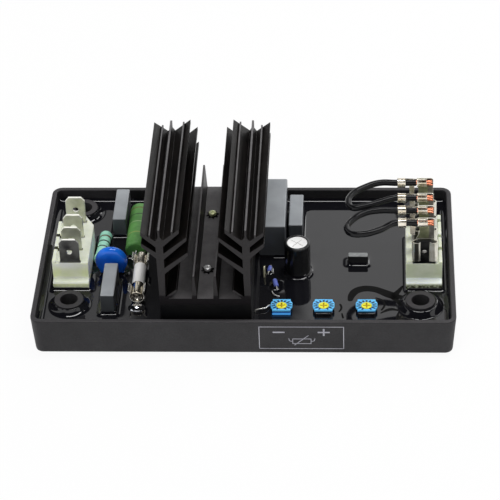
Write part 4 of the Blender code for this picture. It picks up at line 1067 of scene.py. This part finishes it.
def trimmer_housing():
    """A square base, a groove and a plate whose sides bulge at the middle, with a hole for the rotor."""
    base = block((-4.3, 4.3), (TRIMMER_FRONT, 4.3), (6, 15))
    neck = block((-3.9, 3.9), (TRIMMER_FRONT + 0.4, 4), (14.8, 15.5))
    side = [(3.9, 4.75), (4.3, 4.45), (4.3, 3.7), (4.05, 3.4), (4.8, 2.8), (5.1, 1.9), (5.1, -0.9),
            (4.8, -1.8), (4.05, -2.3), (4.3, -2.7), (4.3, -3.5), (4, TRIMMER_FRONT)]
    plate = prism([(-x, y) for x, y in side] + side[::-1], 15.35, TRIMMER_TOP)
    bmesh.ops.recalc_face_normals(plate, faces=plate.faces)
    thing = add_object("plate", plate)
    cut_out(thing, lathe([(0, 15.6), (2.65, 15.6), (2.65, 19.6), (0, 19.6)], 48), unit=1)
    plate = bmesh.new()
    plate.from_mesh(thing.data)
    bpy.data.objects.remove(thing)
    return merge([base, neck, plate])


def add_trimmers():
    """Three trimmers, each with its scale's marks and a rotor on its own body."""
    for number in (1, 2, 3):
        name = f"trimmer_body_{number}"
        at = centre(name)
        at.z = 0
        finish = trimmer_material(f"blue_moulding_{number}", number > 1)
        housing = move(trimmer_housing(), at)
        soften(piece(f"trimmer_housing_{number}", housing, finish, (name,)), 0.1)
        marks = []
        for angle in range(-150, 151, 25):
            reach = 4.5 if abs(sin(radians(angle))) < 0.5 else 4.9
            marks.append(move(block((-0.46, 0.46), (2.95, reach), (0, 0.04)), turn=angle))
        marks = move(resize(merge(marks), 1, 0.85, 1), (at.x, at.y + 0.2, TRIMMER_TOP))
        piece(f"trimmer_scale_{number}", marks, MARK_INK)
        rounded(f"trimmer_rotor_{number}", ROTOR, 0.09, 2, f"rotor_{number}")


def add_links():
    """Two bare wire links, and the tail of a lead that comes out of the potting behind the first trimmer."""
    upright = [(8.7, -11.2, 13), (8.7, -11.15, 15.6), (8.7, -11, 17.2), (8.8, -10, 18.7),
               (8.9, -9, 17.2), (8.9, -8.75, 15.6), (8.9, -8.7, 13)]
    wire("link_upright", upright, 0.4, LINK_BEIGE, ("upright_link",))
    lying = [(5.2, -38, 13.2), (5.6, -37.9, 14.3), (6.6, -37.8, 14.8), (8.6, -37.4, 14.9),
             (10.2, -36.8, 14.9), (11.6, -35.2, 14.8), (12.3, -33.9, 14.2), (12.5, -33.4, 13.2)]
    wire("link_lying", lying, 0.35, LINK, ("lying_link",))
    tail = [(12.9, -22.2, 13.5), (12.95, -23, 14), (13.3, -24.4, 14.1), (14.1, -25.7, 14.1),
            (15.3, -26.3, 14), (16.5, -26.4, 13.5)]
    wire("lead_tail", tail, 0.3, LINK)


# Marks printed on the tray's front wall: a frame, a variable resistor's symbol and the signs minus and plus

def on_front_wall(x, z, lift):
    """A point on the front wall, which leans out towards the rim."""
    return (x, box("tray")[0].y + FRONT_LEAN * (FRONT_RIM - z) - lift, z)


def stroke(points, width=0.36):
    """A printed line: a flat strip with a little thickness on the front wall."""
    path = [Vector(point) for point in points]
    parts = []
    for a, b in zip(path, path[1:]):
        along = (b - a).normalized() * width / 2
        across = Vector((-along.y, along.x))
        flat = [a - along - across, b + along - across, b + along + across, a - along + across]
        parts.append(loft([[on_front_wall(at.x, at.y, lift) for at in flat] for lift in (-0.05, 0.04)]))
    return merge(parts)


def add_print():
    shapes = []
    for outline in (corners((7.8, 47.4), (3.3, 17.1)), corners((23.5, 32.1), (6.5, 9.5))):
        shapes.append(stroke(outline + outline[:1]))
    for side in (-1, 1):
        leg = ((4.3, 8), (5.2, 8), (5.8, 8.4), (6.1, 9.6))
        shapes.append(stroke([(27.8 + side * away, z) for away, z in leg]))
    shapes.append(stroke([(24.4, 5.6), (30.8, 11.6)]))
    for sign in (((14.6, 13.7), (19.4, 13.7)), ((35.7, 13.7), (40.5, 13.7)), ((38.1, 11.9), (38.1, 15.5))):
        shapes.append(stroke(sign, 0.8))
    piece("front_print", merge(shapes), INK)


def add_plain_parts():
    """CAD nodes whose shape is right: a copy with rounded edges, or only a finish."""
    rounded("tray", TRAY, 0.3)
    rounded("heat_sink", ANODISED, 0.14)
    rounded("power_module", MODULE, 0.4)
    # The left front tab and the right tabs get darker copies of the tinned finish: painted dark reflection and
    # painted shade.
    for side, finishes in (("left", (TAB_DARK_REFLECTION, TAB_TIN, TAB_TIN, TAB_TIN)), ("right", (TAB_SHADED,) * 4)):
        add_block(side)
        for number, finish in enumerate(finishes, 1):
            rounded(f"{side}_tab_{number}", finish, 0.16)
    for which in ("front", "back", "large", "small"):
        rounded(f"film_capacitor_{which}", FILM_CASE, 0.35, 3)
    rounded("transistor_package", PACKAGE, 0.2)
    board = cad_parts["circuit_board"]
    board.data.materials.clear()
    board.data.materials.append(BOARD)


# Floor, light and camera, in metres

def add_floor():
    bm = bmesh.new()
    bmesh.ops.create_grid(bm, x_segments=1, y_segments=1, size=3)
    floor = add_object("floor", bm)
    floor.location.z = -0.1 * MM
    look = Look("white_floor")
    look.dress(Base_Color=grey(0.8), Roughness=0.9, Specular_IOR_Level=0.2)
    glow = look.node("Emission", {"Color": (1, 1, 1), "Strength": 1})
    shaders = {0: look.times(look.seen(), 0.94), 1: look.shader.outputs[0], 2: glow}
    floor.data.materials.append(look.surface(look.node("MixShader", shaders)))


def add_world():
    """White to look at and in reflections, dimmer as a light."""
    look = Look("studio", "worlds")
    background = look.tree.nodes["Background"].inputs
    look.put(background["Strength"], look.remap(look.seen(), 0, 1, 0.45, 1))
    look.put(background["Color"], (1, 1, 1))
    bpy.context.scene.world = look.owner


def add_lamp(name, at, target, size, radiance):
    """A rectangular soft light of a given brightness, turned to its target."""
    lamp = bpy.data.lights.new(name, "AREA")
    lamp.shape = "RECTANGLE"
    lamp.size, lamp.size_y = size
    lamp.energy = radiance * pi * size[0] * size[1]
    thing = add_object(name, lamp)
    thing.location = at
    thing.rotation_euler = (Vector(target) - Vector(at)).to_track_quat("-Z", "Y").to_euler()
    return thing


def add_reflectors():
    """What gloss sees: a bright screen behind, split by a dark gap, and a dark ceiling round the lamp."""
    look = Look("studio_screen")
    across = look.axis("X")
    edges = [(at - SCREEN_BLUR, at + SCREEN_BLUR) for at in (*SCREEN_LEFT, SCREEN_RIGHT)]
    right = look.remap(across, *edges[2], SCREEN_DARK, SCREEN_RIGHT_LEVEL)
    left = look.remap(across, *edges[1][::-1], 0, SCREEN_LEFT_LEVEL)
    end = look.remap(across, *edges[0])
    level = look.calculate("ADD", right, look.times(left, end))
    level = look.times(level, look.remap(look.axis("Y"), SCREEN_TOP, SCREEN_TOP - 0.08))
    material = look.surface(look.node("Emission", {"Color": (1, 1, 1), "Strength": level}))
    above = SCREEN_TOP + 0.1
    depth = SCREEN_Y + CEILING_FRONT
    for name, start, end, at, turn in (("studio_wall", 0, CEILING_Z, (0, SCREEN_Y, 0), 90),
                                       ("studio_ceiling", above, above + depth,
                                        (0, SCREEN_Y - above - depth, CEILING_Z), 0)):
        bm = bmesh.new()
        outline = corners((-SCREEN_HALF, SCREEN_HALF), (start, end))
        bm.faces.new([bm.verts.new((x, y, 0)) for x, y in outline])
        screen = add_object(name, bm)
        screen.rotation_euler.x = radians(turn)
        screen.location = at
        screen.data.materials.append(material)
        for kind in ("camera", "diffuse", "transmission", "shadow"):
            setattr(screen, "visible_" + kind, False)


def add_camera():
    yaw, pitch, roll = [radians(angle) for angle in (CAMERA_YAW, CAMERA_PITCH, CAMERA_ROLL)]
    forward = Vector((sin(yaw) * cos(pitch), cos(yaw) * cos(pitch), -sin(pitch)))
    level = Vector((cos(yaw), -sin(yaw), 0))
    right = cos(roll) * level + sin(roll) * level.cross(forward)
    camera = bpy.data.cameras.new("camera")
    camera.sensor_fit = "HORIZONTAL"
    camera.sensor_width = CAMERA_SENSOR
    camera.lens = CAMERA_LENS
    camera.clip_start = 0.05
    thing = add_object("camera", camera)
    turned = Matrix((right, right.cross(forward), -forward)).transposed().to_4x4()
    thing.matrix_world = Matrix.Translation(CAMERA_AT) @ turned
    bpy.context.scene.camera = thing


add_camera()
add_lead("lead_front", (1, 0), FRONT_LOOP)
add_lead("lead_rear", (3, 2), REAR_LOOP)
add_plain_parts()
add_resin()
add_smears()
add_beads()
add_receptacles()
add_resistors()
add_varistor()
add_electrolytic()
add_screws()
add_fuse()
add_clip("fuse_clip_near", -29.2, 6)
add_clip("fuse_clip_far", -4.8, 0)
add_trimmers()
add_links()
add_print()
add_floor()
add_world()
add_lamp("overhead", (0.25, 0.12, 1.35), (0.25, 0.12, 0), (1.1, 0.28), 10.6)
add_lamp("right", (0.72, 0.62, 1.05), OBJECT_AT, (0.22, 0.5), 6)
add_lamp("right_back", (0.8, 1.2, 0.62), OBJECT_AT, (0.2, 0.3), 4)
add_lamp("back", (0.4, 1.25, 0.95), OBJECT_AT, (1.4, 0.9), 0.5).visible_glossy = False
add_lamp("fill", (-1.15, -1.15, 0.8), OBJECT_AT, (1.2, 0.9), 3.6).visible_glossy = False
add_reflectors()
bpy.context.scene.view_settings.view_transform = "Standard"
